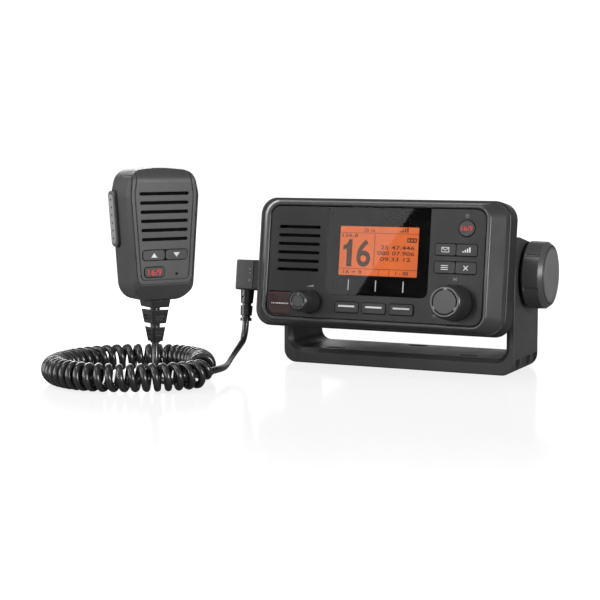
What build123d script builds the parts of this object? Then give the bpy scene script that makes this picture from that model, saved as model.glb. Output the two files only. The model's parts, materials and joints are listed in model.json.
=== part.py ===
from build123d import *
import os
from math import asin, atan2, cos, radians, sin, tan

# A compact marine VHF radio in a gimbal bracket, with its fist microphone and curly cord.
# Millimetres, +Z up, the radio's face looks towards -Y and +X is the user's right.
# The origin is the centre of the bracket's underside.
# Radio pieces are drawn upright about the tilt axis, microphone pieces about their cord's axis.

# ---------------------------------------------------------------- driving dimensions
TILT = 7.6  # lean of the radio in its bracket, degrees
AXIS_HEIGHT = 62.5  # tilt axis above the bracket's underside

# bracket
BRACKET_DEPTH = 51.8
BASE_THICK = 10.2
ARM_THICK = 5.9
ARM_EDGE_R = 0.9  # rounding along the arms' front and rear edges
ARM_TOP_FRONT = 26.5  # top of the arm above the tilt axis, at its front
ARM_TOP_REAR = 17.0  # and at its back
ARM_CORNER = 9.0
BRACKET_OUTER_R = 8.5
BRACKET_INNER_R = 7.0
BASE_EDGE = 2.8  # chamfer along the base's front and rear edges
SLOT_LENGTH = 14.5
SLOT_WIDTH = 6.6
SLOT_IN = 28.2  # middle of the fixing slots from the arms' inner faces
SLOT_FRONT_Y = -16.5
SLOT_REAR_Y = 16.5
CORE_DEPTH = 5.4  # hollows in the base's underside
CORE_RIB = 4.0
CORNER_POCKET_DEPTH = 3.2
CORNER_POCKET_HEIGHT = 9.8
CORNER_POCKET_LONG = 19.5  # the middle pocket, front to back
CORNER_POCKET_SHORT = 11.6
CORNER_RIB = 3.2

# radio: face, trim and housing
FACE_FORWARD = 64.0  # panel face in front of the tilt axis
PANEL_WIDTH = 144.8
PANEL_HEIGHT = 70.6
PANEL_R = 6.5
PANEL_THICK = 2.6
SEAM = 0.35
LIP_RISE = 1.1  # the trim's crest in front of the panel
LIP_WIDTH = 2.4
LIP_ROUND = 1.1
TRIM_DEPTH = 9.0  # trim behind the panel's face
TRIM_FLARE_X = 7.1
TRIM_FLARE_Z = 2.15
BEZEL_SIDE = 12.6  # housing beyond the panel, each side
BEZEL_EDGE = 6.3  # and above and below it
BEZEL_R = 11.0
BEZEL_DEPTH = 13.0
BEZEL_FRONT_R = 1.4
LEDGE = 2.6  # width of the step that carries the panel
PART_GAP = 0.3

# display
WINDOW_LEFT_LAND = 40.4  # panel beside the window, left
WINDOW_RIGHT_LAND = 35.6
WINDOW_SILL = 15.3  # panel below the window
WINDOW_R = 4.0
WINDOW_THICK = 1.8
LCD_LEFT = 8.2  # window border left of the display
LCD_RIGHT = 7.8
LCD_TOP = 11.8
LCD_BOTTOM = 12.5
LCD_BORDER = 1.2

# keys
BOARD_STANDOFF = 5.0  # board's front behind the panel's back
BOARD_THICK = 1.6
MAT_THICK = 0.8
KEY_TRAVEL = 0.8
KEY_GAP = 0.25
KEY_PROUD = 0.7
KEY_FLANGE = 0.8
KEY_FLANGE_THICK = 1.0
STEM_R = 2.2
SOFTKEY_X = 2.05
SOFTKEY_RISE = 7.5  # middle of the soft keys above the panel's lower edge
SOFTKEY_PITCH = 18.45
SOFTKEY_WIDTH = 15.9
SOFTKEY_HEIGHT = 6.6
PAIR_IN = 18.3  # middle of the key pairs from the panel's right edge
PAIR_DROP = 25.0  # upper pair below the panel's top edge
PAIR_PITCH = 10.9
PAIR_KEY_WIDTH = 13.1
PAIR_KEY_HEIGHT = 7.2
PAIR_SPLIT = 0.5
ROUND_KEY_IN = 12.1
ROUND_KEY_DROP = 11.7
ROUND_KEY_R = 5.0

# turning knobs on the face
VOLUME_IN = 30.3  # knob axis from the panel's left edge
VOLUME_RISE = 9.8
VOLUME_R = 7.6
VOLUME_TIP_R = 5.9
SELECT_IN = 17.6  # knob axis from the panel's right edge
SELECT_RISE = 13.3
SELECT_R = 11.3
SELECT_TIP_R = 9.8
KNOB_LENGTH = 17.1
KNOB_OFF_FACE = 1.1
ENCODER_SIZE = 12.0
BUSHING_R = 3.5
SHAFT_R = 2.0
SHAFT_CLEAR = 0.05

# distress door and key
DOOR_IN = 1.3  # door opening from the panel's left edge
DOOR_RISE = 0.8
DOOR_WIDTH = 15.8
DOOR_HEIGHT = 15.2
DOOR_THICK = 2.1
DOOR_PIN_R = 0.6
DOOR_PIN_LENGTH = 0.9
DOOR_BARREL_R = 1.05
DOOR_AXIS_DROP = 1.4
DISTRESS_KEY = 7.6
DISTRESS_KEY_IN = 8.7  # from the door opening's left side
DISTRESS_KEY_RISE = 6.9
WEB_THICK = 1.2

# loudspeaker
SPEAKER_IN = 20.5  # axis from the panel's left edge
SPEAKER_DROP = 26.9
SPEAKER_R = 17.2
SPEAKER_DEPTH = 17.0
MAGNET_R = 10.0
MAGNET_FRONT = 9.0  # behind the rim
SPEAKER_RIM = 1.2
SPEAKER_RIM_DEPTH = 1.5
SURROUND_WIDTH = 2.0
CONE_DEPTH = 6.5
CONE_THICK = 0.6
CONE_SEAT = 0.8
DUST_CAP_R = 6.0
DUST_CAP_RISE = 0.9
SLIT_LENGTH = 29.2
SLIT_WIDTH = 1.9
SLIT_PITCH = 5.44
SLIT_COUNT = 6

# chassis behind the face
CHASSIS_SIDE_SET = 15.0  # chassis side inside the housing's side
CHASSIS_EDGE_SET = 7.6
CHASSIS_R = 6.0
CHASSIS_TOP_DROP = 11.6  # the rear part's top below the front's
CHASSIS_SHOULDER = 31.0  # length over which the top comes down
CHASSIS_BACK = 60.0  # behind the tilt axis
CHASSIS_WALL = 3.0
FLANGE_SIDE = 3.5  # flange beyond the chassis, each side
FLANGE_EDGE = 5.5
FLANGE_THICK = 4.0
GASKET_THICK = 1.0
FIN_COUNT = 15
FIN_PITCH = 8.4
FIN_THICK = 2.4
FIN_DEPTH = 7.0
FIN_BOTTOM = 1.0
SCREW_R = 1.5
SCREW_HEAD_R = 2.5
SCREW_HEAD = 1.8
SCREW_LENGTH = 12.0
SCREW_IN = 10.0  # chassis screws from the chassis's side
MAIN_BOARD_Z = -14.0
MAIN_BOARD_SIDE_GAP = 5.0
MAIN_BOARD_END_GAP = 7.0
SHIELD_WIDTH = 74.0
SHIELD_LENGTH = 50.0
SHIELD_HEIGHT = 12.0

# rear connections
SOCKET_IN = 26.0  # antenna socket from the chassis's side
SOCKET_RISE = 19.0  # rear fittings above the chassis's underside
SOCKET_R = 7.9
SOCKET_LENGTH = 15.0
SOCKET_BORE_R = 2.0
SOCKET_FLANGE = 25.0
SOCKET_FLANGE_THICK = 2.5
GLAND_R = 6.5
GLAND_LENGTH = 8.0
GLAND_BORE_R = 2.6
GLAND_PITCH = 28.0

# tilt clamp
SIDE_BOSS_R = 12.0
SIDE_BOSS_HEIGHT = 2.2
RATCHET_THICK = 2.08
WASHER_GAP = 0.12
INSERT_R = 5.0
INSERT_LENGTH = 12.0
STUD_R = 3.0
STUD_CLEAR = 0.05
ARM_HOLE_R = 3.4
CLAMP_WASHER_R = 13.0
CLAMP_WASHER_THICK = 1.5
CLAMP_KNOB_R = 21.6
CLAMP_KNOB_RIM_R = 19.4
CLAMP_KNOB_LENGTH = 13.7
CLAMP_KNOB_BEVEL = 2.6  # length of the bevel round its outer end
CLAMP_CAP_R = 17.8
CLAMP_CAP_RISE = 2.0
CLAMP_TRAVEL = 3.0  # how far the clamp unscrews
GRIP_COUNT = 6
GRIP_R = 1.6  # rounded grooves round the knob
GRIP_OUT = 0.9  # their middle outside the knob's side

# microphone plug on the radio's left side
PLUG_Y = -48.5
PLUG_Z = -9.45
PLUG_OUT = 9.8  # axis of the cord beside the housing
PLUG_WIDTH = 13.3
PLUG_DEPTH = 11.8
PLUG_HEIGHT = 19.8
PLUG_CHAMFER = 2.2
PLUG_EDGE = 1.2  # rounding round its front
PLUG_SEAM = 0.4  # bevels beside the seam to the housing's boss
PLUG_COLLAR_R = 6.2
PLUG_SPIGOT_R = 4.0
PLUG_SPIGOT_LENGTH = 8.0
BOOT_LENGTH = 20.4
BOOT_TOP_R = 4.5
BOOT_MIDDLE_R = 4.0
BOOT_TIP_R = 3.75
BOOT_FIRST_GROOVE = 8.6  # below the boot's top
BOOT_SECOND_GROOVE = 16.6
BOOT_GROOVE = 1.0
BOOT_GROOVE_WIDTH = 1.8

# hand microphone
MIC_X = -112.3
MIC_Y = -140.0
MIC_LIFT = 51.0  # bottom of its case above the table
MIC_YAW = 58.0
MIC_HEIGHT = 80.5
MIC_WIDTH = 48.6
MIC_FRONT = 14.0
MIC_BACK = 16.0
MIC_TAPER = 4.7  # each side's narrowing from its shoulder to the foot
MIC_FOOT_R = 12.0
MIC_SHOULDER_DROP = 16.0  # shoulders below the crown
MIC_CORNER_IN = 3.2
MIC_CORNER_DROP = 2.0
MIC_SHOULDER_R = 14.0
MIC_CORNER_R = 10.0
MIC_CROWN_R = 80.0
MIC_TOP_FRONT_R = 9.0  # how the top rolls over into the face
MIC_TOP_BACK_R = 7.0
MIC_BEVEL = 2.0  # depth of the bevel round the face
MIC_RIM_IN = 1.9  # face rim inside the case outline
MIC_RIM_FOOT = 10.2
MIC_RIM_WIDTH = 2.6
MIC_GROOVE = 0.45
MIC_CHIN_BACK = 6.0  # the chin's slope: bottom edge behind the face
MIC_REAR_BEVEL = 7.0
MIC_REAR_IN = 4.5
MIC_JOINT = 1.0  # parting plane in front of the cord's axis
MIC_WALL = 2.2
MIC_SLIT_DROP = 15.7  # top sound slit below the crown
MIC_SLIT_PITCH = 5.46
MIC_SLIT_LENGTH = 33.1
MIC_SLIT_SHRINK = 0.5  # each slit shorter than the one above
MIC_KEY_Z = 28.0
MIC_KEY_WIDTH = 14.7
MIC_KEY_HEIGHT = 6.2
MIC_KEY_R = 2.0
MIC_CALL_X = -7.2
MIC_CALL_Z = 17.8
MIC_CALL_WIDTH = 13.3
MIC_HOLE_X = 7.8
MIC_HOLE_Z = 16.2
MIC_HOLE_R = 0.9
MIC_SPEAKER_R = 13.0
MIC_SPEAKER_DROP = 29.5
MIC_SPEAKER_EDGE = 1.5
MIC_CAPSULE_R = 2.1
PTT_DROP = 31.0  # middle of the talk bar below the crown
PTT_HEIGHT = 34.0
PTT_Y = 5.8
PTT_WIDTH = 8.8
PTT_GAP = 1.0
PTT_R = 3.4
PTT_PROUD = 1.9
PTT_REACH = 5.0  # depth of its opening inside the wall
PTT_TRAVEL = 1.2
STUD_HEAD_R = 7.0
STUD_NECK_R = 3.2
STUD_REACH = 7.0
MIC_STUD_DROP = 27.5
MIC_SCREW_X = 11.5
MIC_SCREW_LOW = 10.5
MIC_SCREW_DROP = 9.5  # upper case screws below the crown
MIC_SCREW_R = 1.0
MIC_POST_R = 2.6
BOOT_CORE_R = 3.0
MIC_BOOT_WIDTH = 12.9
MIC_BOOT_TAPER = 0.25  # narrower by this for each millimetre down
BOOT_DEEPER = 1.4  # front to back over side to side
BOOT_SLIT = 0.9
BOOT_SLIT_DEPTH = 1.1
MIC_BOOT_END = 26.5
MIC_BOOT_HOLE_R = 4.2

# cords
CORD_R = 2.2
COIL_R = 8.7

os.makedirs("parts", exist_ok=True)

# ---------------------------------------------------------------- derived places
FACE = -FACE_FORWARD
PANEL_BACK = FACE + PANEL_THICK
BOARD_FRONT = PANEL_BACK + BOARD_STANDOFF
BOARD_BACK = BOARD_FRONT + BOARD_THICK
MAT_FRONT = BOARD_FRONT - MAT_THICK
STEM_TIP = MAT_FRONT - KEY_TRAVEL - 0.1
FLANGE_FRONT = PANEL_BACK + 0.1
TRIM_BACK = FACE + TRIM_DEPTH
HOUSING_BACK = TRIM_BACK + BEZEL_DEPTH
CHASSIS_FRONT = HOUSING_BACK + GASKET_THICK
FLANGE_BACK = CHASSIS_FRONT + FLANGE_THICK
SHOULDER_END = CHASSIS_FRONT + CHASSIS_SHOULDER
OPENING_WIDTH = PANEL_WIDTH - 2 * LEDGE
OPENING_HEIGHT = PANEL_HEIGHT - 2 * LEDGE
PANEL_SIDE = PANEL_WIDTH / 2
PANEL_TOP = PANEL_HEIGHT / 2
BEZEL_WIDTH = PANEL_WIDTH + 2 * BEZEL_SIDE
BEZEL_HEIGHT = PANEL_HEIGHT + 2 * BEZEL_EDGE
CHASSIS_WIDTH = BEZEL_WIDTH - 2 * CHASSIS_SIDE_SET
CHASSIS_HEIGHT = BEZEL_HEIGHT - 2 * CHASSIS_EDGE_SET
CHASSIS_SIDE = CHASSIS_WIDTH / 2
REAR_HEIGHT = CHASSIS_HEIGHT - CHASSIS_TOP_DROP
REAR_TOP = CHASSIS_HEIGHT / 2 - CHASSIS_TOP_DROP
FLANGE_WIDTH = CHASSIS_WIDTH + 2 * FLANGE_SIDE
FLANGE_HEIGHT = CHASSIS_HEIGHT + 2 * FLANGE_EDGE
BOSS_FACE = CHASSIS_SIDE + SIDE_BOSS_HEIGHT
ARM_INNER = BOSS_FACE + RATCHET_THICK + WASHER_GAP
ARM_OUTER = ARM_INNER + ARM_THICK
BRACKET_WIDTH = 2 * ARM_OUTER
SLOT_X = ARM_INNER - SLOT_IN
WINDOW_WIDTH = PANEL_WIDTH - WINDOW_LEFT_LAND - WINDOW_RIGHT_LAND
WINDOW_X = (WINDOW_LEFT_LAND - WINDOW_RIGHT_LAND) / 2
WINDOW_BOTTOM = WINDOW_SILL - PANEL_TOP
LCD_WIDTH = WINDOW_WIDTH - LCD_LEFT - LCD_RIGHT
LCD_HEIGHT = PANEL_TOP - WINDOW_BOTTOM - LCD_TOP - LCD_BOTTOM
LCD_X = WINDOW_X + (LCD_LEFT - LCD_RIGHT) / 2
LCD_Z = WINDOW_BOTTOM + LCD_BOTTOM + LCD_HEIGHT / 2
SOFTKEY_Z = SOFTKEY_RISE - PANEL_TOP
PAIR_X = PANEL_SIDE - PAIR_IN
PAIR_TOP_Z = PANEL_TOP - PAIR_DROP
PAIR_BOTTOM_Z = PAIR_TOP_Z - PAIR_PITCH
ROUND_KEY_X = PANEL_SIDE - ROUND_KEY_IN
ROUND_KEY_Z = PANEL_TOP - ROUND_KEY_DROP
VOLUME_X = VOLUME_IN - PANEL_SIDE
VOLUME_Z = VOLUME_RISE - PANEL_TOP
SELECT_X = PANEL_SIDE - SELECT_IN
SELECT_Z = SELECT_RISE - PANEL_TOP
DOOR_LEFT = DOOR_IN - PANEL_SIDE
DOOR_RIGHT = DOOR_LEFT + DOOR_WIDTH
DOOR_BOTTOM = DOOR_RISE - PANEL_TOP
DOOR_TOP = DOOR_BOTTOM + DOOR_HEIGHT
DISTRESS_KEY_X = DOOR_LEFT + DISTRESS_KEY_IN
DISTRESS_KEY_Z = DOOR_BOTTOM + DISTRESS_KEY_RISE
SPEAKER_X = SPEAKER_IN - PANEL_SIDE
SPEAKER_Z = PANEL_TOP - SPEAKER_DROP
SCREW_X = CHASSIS_SIDE - SCREW_IN
SOCKET_X = CHASSIS_SIDE - SOCKET_IN
SOCKET_Z = SOCKET_RISE - CHASSIS_HEIGHT / 2
GLAND_X = (-SOCKET_X, GLAND_PITCH - SOCKET_X)
MAIN_BOARD_WIDTH = CHASSIS_WIDTH - 2 * CHASSIS_WALL - 2 * MAIN_BOARD_SIDE_GAP
MAIN_BOARD_LENGTH = CHASSIS_BACK - CHASSIS_WALL - CHASSIS_FRONT - 2 * MAIN_BOARD_END_GAP
DOOR_AXIS_Z = DOOR_TOP - DOOR_AXIS_DROP
DOOR_AXIS_Y = FACE + DOOR_BARREL_R + 0.1
PLUG_X = -(BEZEL_WIDTH / 2 + PLUG_OUT)

RADIO_PLACE = Location((0, 0, AXIS_HEIGHT), (-TILT, 0, 0))
MIC_FACE = -MIC_FRONT
MIC_FACE_BACK = MIC_FACE + MIC_WALL
MIC_SHOULDER_Z = MIC_HEIGHT - MIC_SHOULDER_DROP
MIC_SCREW_HIGH = MIC_HEIGHT - MIC_SCREW_DROP
MIC_SPEAKER_Z = MIC_HEIGHT - MIC_SPEAKER_DROP
MIC_STUD_Z = MIC_HEIGHT - MIC_STUD_DROP
MIC_BOARD_FRONT = MIC_FACE_BACK + 3.0
MIC_STEM_TIP = MIC_BOARD_FRONT - KEY_TRAVEL - 0.1
MIC_PLACE = Location((MIC_X, MIC_Y, MIC_LIFT), (0, 0, MIC_YAW))
ROW_PLACE = Location((0, 0, 0))


def facing(y):
    """A sketch plane at depth y that looks forward: x to the right, y up, extrude towards -Y."""
    return Plane(origin=(0, y, 0), x_dir=(1, 0, 0), z_dir=(0, -1, 0))


def sideways(x):
    """A sketch plane that looks to the right: x is +Y, y is +Z."""
    return Plane(origin=(x, 0, 0), x_dir=(0, 1, 0), z_dir=(1, 0, 0))


def lengthwise(x, y, z):
    """A plane through a knob's axis: x is the radius, y runs forward along the axis."""
    return Plane(origin=(x, y, z), x_dir=(1, 0, 0), z_dir=(0, 0, 1))


def save(name, part, place):
    """Put a finished piece where it stands and write it as its own node."""
    placed = place * part
    placed.label = name
    export_step(placed, f"parts/{name}.step")


# ---------------------------------------------------------------- bracket
with BuildPart() as mounting_bracket:
    with BuildSketch(facing(BRACKET_DEPTH / 2)):
        with BuildLine():
            Polyline(
                (-ARM_OUTER, AXIS_HEIGHT + ARM_TOP_FRONT),
                (-ARM_OUTER, 0),
                (ARM_OUTER, 0),
                (ARM_OUTER, AXIS_HEIGHT + ARM_TOP_FRONT),
                (ARM_INNER, AXIS_HEIGHT + ARM_TOP_FRONT),
                (ARM_INNER, BASE_THICK),
                (-ARM_INNER, BASE_THICK),
                (-ARM_INNER, AXIS_HEIGHT + ARM_TOP_FRONT),
                close=True,
            )
        make_face()
    extrude(amount=BRACKET_DEPTH)
    along_y = mounting_bracket.edges().filter_by(Axis.Y)
    fillet(along_y.group_by(Axis.Z)[0], radius=BRACKET_OUTER_R)
    inner_corners = mounting_bracket.edges().filter_by(Axis.Y).filter_by(
        lambda e: abs(abs(e.center().X) - ARM_INNER) < 0.01 and abs(e.center().Z - BASE_THICK) < 0.01
    )
    fillet(inner_corners, radius=BRACKET_INNER_R)
    # the arms' side outline: a slanting top with rounded corners
    with BuildSketch(sideways(-BRACKET_WIDTH)):
        with BuildLine():
            FilletPolyline(
                (-BRACKET_DEPTH / 2, -1),
                (-BRACKET_DEPTH / 2, AXIS_HEIGHT + ARM_TOP_FRONT),
                (BRACKET_DEPTH / 2, AXIS_HEIGHT + ARM_TOP_REAR),
                (BRACKET_DEPTH / 2, -1),
                radius=(0, ARM_CORNER, ARM_CORNER, 0),
                close=True,
            )
        make_face()
    extrude(amount=2 * BRACKET_WIDTH, mode=Mode.INTERSECT)
    # bevels along the base's upper edges
    base_edges = mounting_bracket.edges().filter_by(Axis.X).filter_by(
        lambda e: abs(e.center().Z - BASE_THICK) < 0.01
    )
    chamfer(base_edges, length=BASE_EDGE)
    # rounded front and rear edges along the outside of the arms
    arm_edges = mounting_bracket.edges().filter_by(Axis.Z).filter_by(
        lambda e: abs(abs(e.center().X) - ARM_OUTER) < 0.01
    )
    fillet(arm_edges, radius=ARM_EDGE_R)
    # clamp holes
    with BuildSketch(sideways(-BRACKET_WIDTH)):
        with Locations((0, AXIS_HEIGHT)):
            Circle(ARM_HOLE_R)
    extrude(amount=2 * BRACKET_WIDTH, mode=Mode.SUBTRACT)
    # fixing slots
    with BuildSketch(Plane.XY):
        with Locations((-SLOT_X, SLOT_FRONT_Y), (SLOT_X, SLOT_FRONT_Y), (0, SLOT_REAR_Y)):
            SlotOverall(SLOT_LENGTH, SLOT_WIDTH)
    extrude(amount=BASE_THICK, mode=Mode.SUBTRACT)
    # hollows in the underside, between ribs and clear of the slots
    core_y = (BRACKET_DEPTH - 3 * CORE_RIB) / 2
    centre_core = 2 * (SLOT_X - SLOT_LENGTH / 2 - CORE_RIB)
    rear_core = (centre_core - SLOT_LENGTH) / 2 - CORE_RIB
    end_core = SLOT_IN - BRACKET_INNER_R - SLOT_LENGTH / 2 - CORE_RIB
    with BuildSketch(Plane.XY):
        with Locations((0, -(core_y + CORE_RIB) / 2)):
            RectangleRounded(centre_core, core_y, 1.5)
        for side in (-1, 1):
            with Locations((side * (SLOT_LENGTH / 2 + CORE_RIB + rear_core / 2), (core_y + CORE_RIB) / 2)):
                RectangleRounded(rear_core, core_y, 1.5)
            with Locations((side * SLOT_X, (core_y + CORE_RIB) / 2)):
                RectangleRounded(SLOT_LENGTH, core_y, 1.5)
            with Locations((side * (SLOT_X + SLOT_LENGTH / 2 + CORE_RIB + end_core / 2), 0)):
                RectangleRounded(end_core, BRACKET_DEPTH - 2 * CORE_RIB, 1.5)
    extrude(amount=CORE_DEPTH, mode=Mode.SUBTRACT)
    # pockets across the lower outer corners
    pocket_step = (CORNER_POCKET_LONG + CORNER_POCKET_SHORT) / 2 + CORNER_RIB
    with BuildSketch(Plane.XY.offset(-1)):
        for side in (-1, 1):
            with Locations((side * ARM_OUTER, 0)):
                Rectangle(2 * CORNER_POCKET_DEPTH, CORNER_POCKET_LONG)
            with Locations((side * ARM_OUTER, -pocket_step), (side * ARM_OUTER, pocket_step)):
                Rectangle(2 * CORNER_POCKET_DEPTH, CORNER_POCKET_SHORT)
    extrude(amount=1 + CORNER_POCKET_HEIGHT, mode=Mode.SUBTRACT)
save("mounting_bracket", mounting_bracket.part, ROW_PLACE)


# ---------------------------------------------------------------- trim, housing and panel
def plug_block(left, right):
    """The plug's block or the boss beside it: one section between two places."""
    with BuildPart() as block:
        with BuildSketch(sideways(left)):
            with Locations((PLUG_Y, PLUG_Z)):
                Rectangle(PLUG_DEPTH, PLUG_HEIGHT)
        extrude(amount=right - left)
        chamfer(block.edges().filter_by(Axis.X).group_by(Axis.Y)[-1], length=PLUG_CHAMFER / 2)
        fillet(block.edges().filter_by(Axis.X).group_by(Axis.Y)[0], radius=PLUG_EDGE)
    return block.part


boss_end = -(BEZEL_WIDTH / 2 + PLUG_OUT - PLUG_WIDTH / 2)
plug_boss = plug_block(boss_end, -(BEZEL_WIDTH / 2 - BEZEL_FRONT_R))

with BuildPart() as trim_frame:
    crest_width = PANEL_WIDTH + 2 * (SEAM + LIP_WIDTH)
    crest_height = PANEL_HEIGHT + 2 * (SEAM + LIP_WIDTH)
    crest_r = PANEL_R + SEAM + LIP_WIDTH
    with BuildSketch(facing(FACE - LIP_RISE)):
        RectangleRounded(crest_width, crest_height, crest_r)
    with BuildSketch(facing(TRIM_BACK)):
        RectangleRounded(crest_width + 2 * TRIM_FLARE_X, crest_height + 2 * TRIM_FLARE_Z, crest_r + TRIM_FLARE_Z * 0.6)
    loft()
    with BuildSketch(facing(TRIM_BACK)):
        RectangleRounded(PANEL_WIDTH + 2 * SEAM, PANEL_HEIGHT + 2 * SEAM, PANEL_R + SEAM)
    extrude(amount=TRIM_DEPTH + LIP_RISE, mode=Mode.SUBTRACT)
    fillet(trim_frame.faces().sort_by(Axis.Y)[0].edges(), radius=LIP_ROUND)
save("trim_frame", trim_frame.part, RADIO_PLACE)

with BuildPart() as front_housing:
    with BuildSketch(facing(HOUSING_BACK)):
        RectangleRounded(BEZEL_WIDTH, BEZEL_HEIGHT, BEZEL_R)
    extrude(amount=BEZEL_DEPTH)
    fillet(front_housing.faces().sort_by(Axis.Y)[0].edges(), radius=BEZEL_FRONT_R)
    add(plug_boss)
    chamfer(front_housing.faces().sort_by(Axis.X)[0].edges(), length=PLUG_SEAM)
    # neck that carries the panel
    with BuildSketch(facing(TRIM_BACK)):
        RectangleRounded(PANEL_WIDTH, PANEL_HEIGHT, PANEL_R)
    extrude(amount=TRIM_BACK - PANEL_BACK)
    with BuildSketch(facing(HOUSING_BACK)):
        RectangleRounded(OPENING_WIDTH, OPENING_HEIGHT, PANEL_R - LEDGE / 2)
    extrude(amount=HOUSING_BACK - PANEL_BACK, mode=Mode.SUBTRACT)
    # web in the corner behind the distress door
    with BuildSketch(facing(PANEL_BACK + WEB_THICK)):
        with Locations(((DOOR_RIGHT + 1.3 - OPENING_WIDTH / 2 - 1) / 2, (DOOR_TOP + 0.6 - OPENING_HEIGHT / 2 - 1) / 2)):
            Rectangle(DOOR_RIGHT + 1.3 + OPENING_WIDTH / 2 + 1, DOOR_TOP + 0.6 + OPENING_HEIGHT / 2 + 1)
    extrude(amount=WEB_THICK)
    with BuildSketch(facing(PANEL_BACK + WEB_THICK)):
        with Locations((DISTRESS_KEY_X, DISTRESS_KEY_Z)):
            RectangleRounded(DISTRESS_KEY + 2 * KEY_GAP, DISTRESS_KEY + 2 * KEY_GAP, 2.0 + KEY_GAP)
    extrude(amount=WEB_THICK, mode=Mode.SUBTRACT)
    # blind holes for the chassis screws
    screw_z = CHASSIS_HEIGHT / 2 + SCREW_HEAD_R + 0.15
    with BuildSketch(facing(HOUSING_BACK)):
        with GridLocations(2 * SCREW_X, 2 * screw_z, 2, 2):
            Circle(SCREW_R + 0.02)
    extrude(amount=SCREW_LENGTH - FLANGE_THICK - GASKET_THICK + 0.3, mode=Mode.SUBTRACT)
    # seat for the microphone socket
    with BuildSketch(sideways(-BEZEL_WIDTH / 2)):
        with Locations((PLUG_Y, PLUG_Z)):
            Circle(PLUG_COLLAR_R)
    extrude(amount=PLUG_SPIGOT_LENGTH + 2, mode=Mode.SUBTRACT)
    with BuildSketch(sideways(boss_end)):
        with Locations((PLUG_Y, PLUG_Z)):
            Circle(PLUG_SPIGOT_R + 0.1)
    extrude(amount=PLUG_OUT, mode=Mode.SUBTRACT)
save("front_housing", front_housing.part, RADIO_PLACE)

with BuildPart() as front_panel:
    with BuildSketch(facing(PANEL_BACK)):
        RectangleRounded(PANEL_WIDTH, PANEL_HEIGHT, PANEL_R)
    extrude(amount=PANEL_THICK)
    # openings for keys, knobs, loudspeaker and distress door
    with BuildSketch(facing(PANEL_BACK)):
        for step in (-1, 0, 1):
            with Locations((SOFTKEY_X + step * SOFTKEY_PITCH, SOFTKEY_Z)):
                RectangleRounded(SOFTKEY_WIDTH + 2 * KEY_GAP, SOFTKEY_HEIGHT + 2 * KEY_GAP, 1.2 + KEY_GAP)
        for pair_z in (PAIR_TOP_Z, PAIR_BOTTOM_Z):
            with Locations((PAIR_X, pair_z)):
                RectangleRounded(
                    2 * PAIR_KEY_WIDTH + PAIR_SPLIT + 2 * KEY_GAP, PAIR_KEY_HEIGHT + 2 * KEY_GAP, 1.2 + KEY_GAP
                )
        with Locations((ROUND_KEY_X, ROUND_KEY_Z)):
            Circle(ROUND_KEY_R + KEY_GAP)
        with Locations((VOLUME_X, VOLUME_Z), (SELECT_X, SELECT_Z)):
            Circle(BUSHING_R + 0.1)
        with Locations((SPEAKER_X, SPEAKER_Z)):
            with GridLocations(0, SLIT_PITCH, 1, SLIT_COUNT):
                SlotOverall(SLIT_LENGTH, SLIT_WIDTH)
    extrude(amount=PANEL_THICK, mode=Mode.SUBTRACT)
    # door opening, its outer corner rounded to follow the panel
    corner_r = PANEL_R - (PANEL_WIDTH / 2 + DOOR_LEFT)
    with BuildSketch(facing(PANEL_BACK)):
        with BuildLine():
            FilletPolyline(
                (DOOR_LEFT, DOOR_TOP),
                (DOOR_LEFT, DOOR_BOTTOM),
                (DOOR_RIGHT, DOOR_BOTTOM),
                (DOOR_RIGHT, DOOR_TOP),
                radius=(0, corner_r, 0, 0),
                close=True,
            )
        make_face()
    extrude(amount=PANEL_THICK, mode=Mode.SUBTRACT)
    # pocket for the window, open at the panel's top edge, and the view through to the display
    window_top = PANEL_HEIGHT / 2 + 1
    with BuildSketch(facing(FACE)):
        with Locations((WINDOW_X, (WINDOW_BOTTOM + window_top) / 2)):
            RectangleRounded(WINDOW_WIDTH, window_top - WINDOW_BOTTOM, WINDOW_R)
        with Locations((WINDOW_X, window_top - WINDOW_R)):
            Rectangle(WINDOW_WIDTH, 2 * WINDOW_R)
    extrude(amount=-WINDOW_THICK, mode=Mode.SUBTRACT)
    with BuildSketch(facing(PANEL_BACK)):
        with Locations((LCD_X, LCD_Z)):
            Rectangle(LCD_WIDTH + 2 * LCD_BORDER, LCD_HEIGHT + 2 * LCD_BORDER)
    extrude(amount=PANEL_THICK, mode=Mode.SUBTRACT)
    # the door's pivot holes
    with BuildSketch(sideways(DOOR_LEFT - DOOR_PIN_LENGTH)):
        with Locations((DOOR_AXIS_Y, DOOR_AXIS_Z)):
            Circle(DOOR_PIN_R + SHAFT_CLEAR)
    extrude(amount=DOOR_RIGHT - DOOR_LEFT + 2 * DOOR_PIN_LENGTH, mode=Mode.SUBTRACT)
save("front_panel", front_panel.part, RADIO_PLACE)

with BuildPart() as display_window:
    with BuildSketch(facing(FACE + WINDOW_THICK)):
        window_high = PANEL_HEIGHT / 2 - WINDOW_BOTTOM
        with Locations((WINDOW_X, (PANEL_HEIGHT / 2 + WINDOW_BOTTOM) / 2)):
            Rectangle(WINDOW_WIDTH - 0.2, window_high - 0.2)
    extrude(amount=WINDOW_THICK)
    fillet(display_window.edges().filter_by(Axis.Y).group_by(Axis.Z)[0], radius=WINDOW_R)
save("display_window", display_window.part, RADIO_PLACE)

with BuildPart() as lcd_module:
    with BuildSketch(facing(BOARD_FRONT)):
        with Locations((LCD_X, LCD_Z)):
            Rectangle(LCD_WIDTH + 8, LCD_HEIGHT + 9)
    extrude(amount=BOARD_STANDOFF - 0.1)
    with BuildSketch(facing(BOARD_FRONT)):
        with Locations((LCD_X, LCD_Z)):
            Rectangle(LCD_WIDTH + 2 * LCD_BORDER - 0.4, LCD_HEIGHT + 2 * LCD_BORDER - 0.4)
    extrude(amount=BOARD_STANDOFF + PANEL_THICK - WINDOW_THICK - 0.1)
save("lcd_module", lcd_module.part, RADIO_PLACE)


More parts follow.
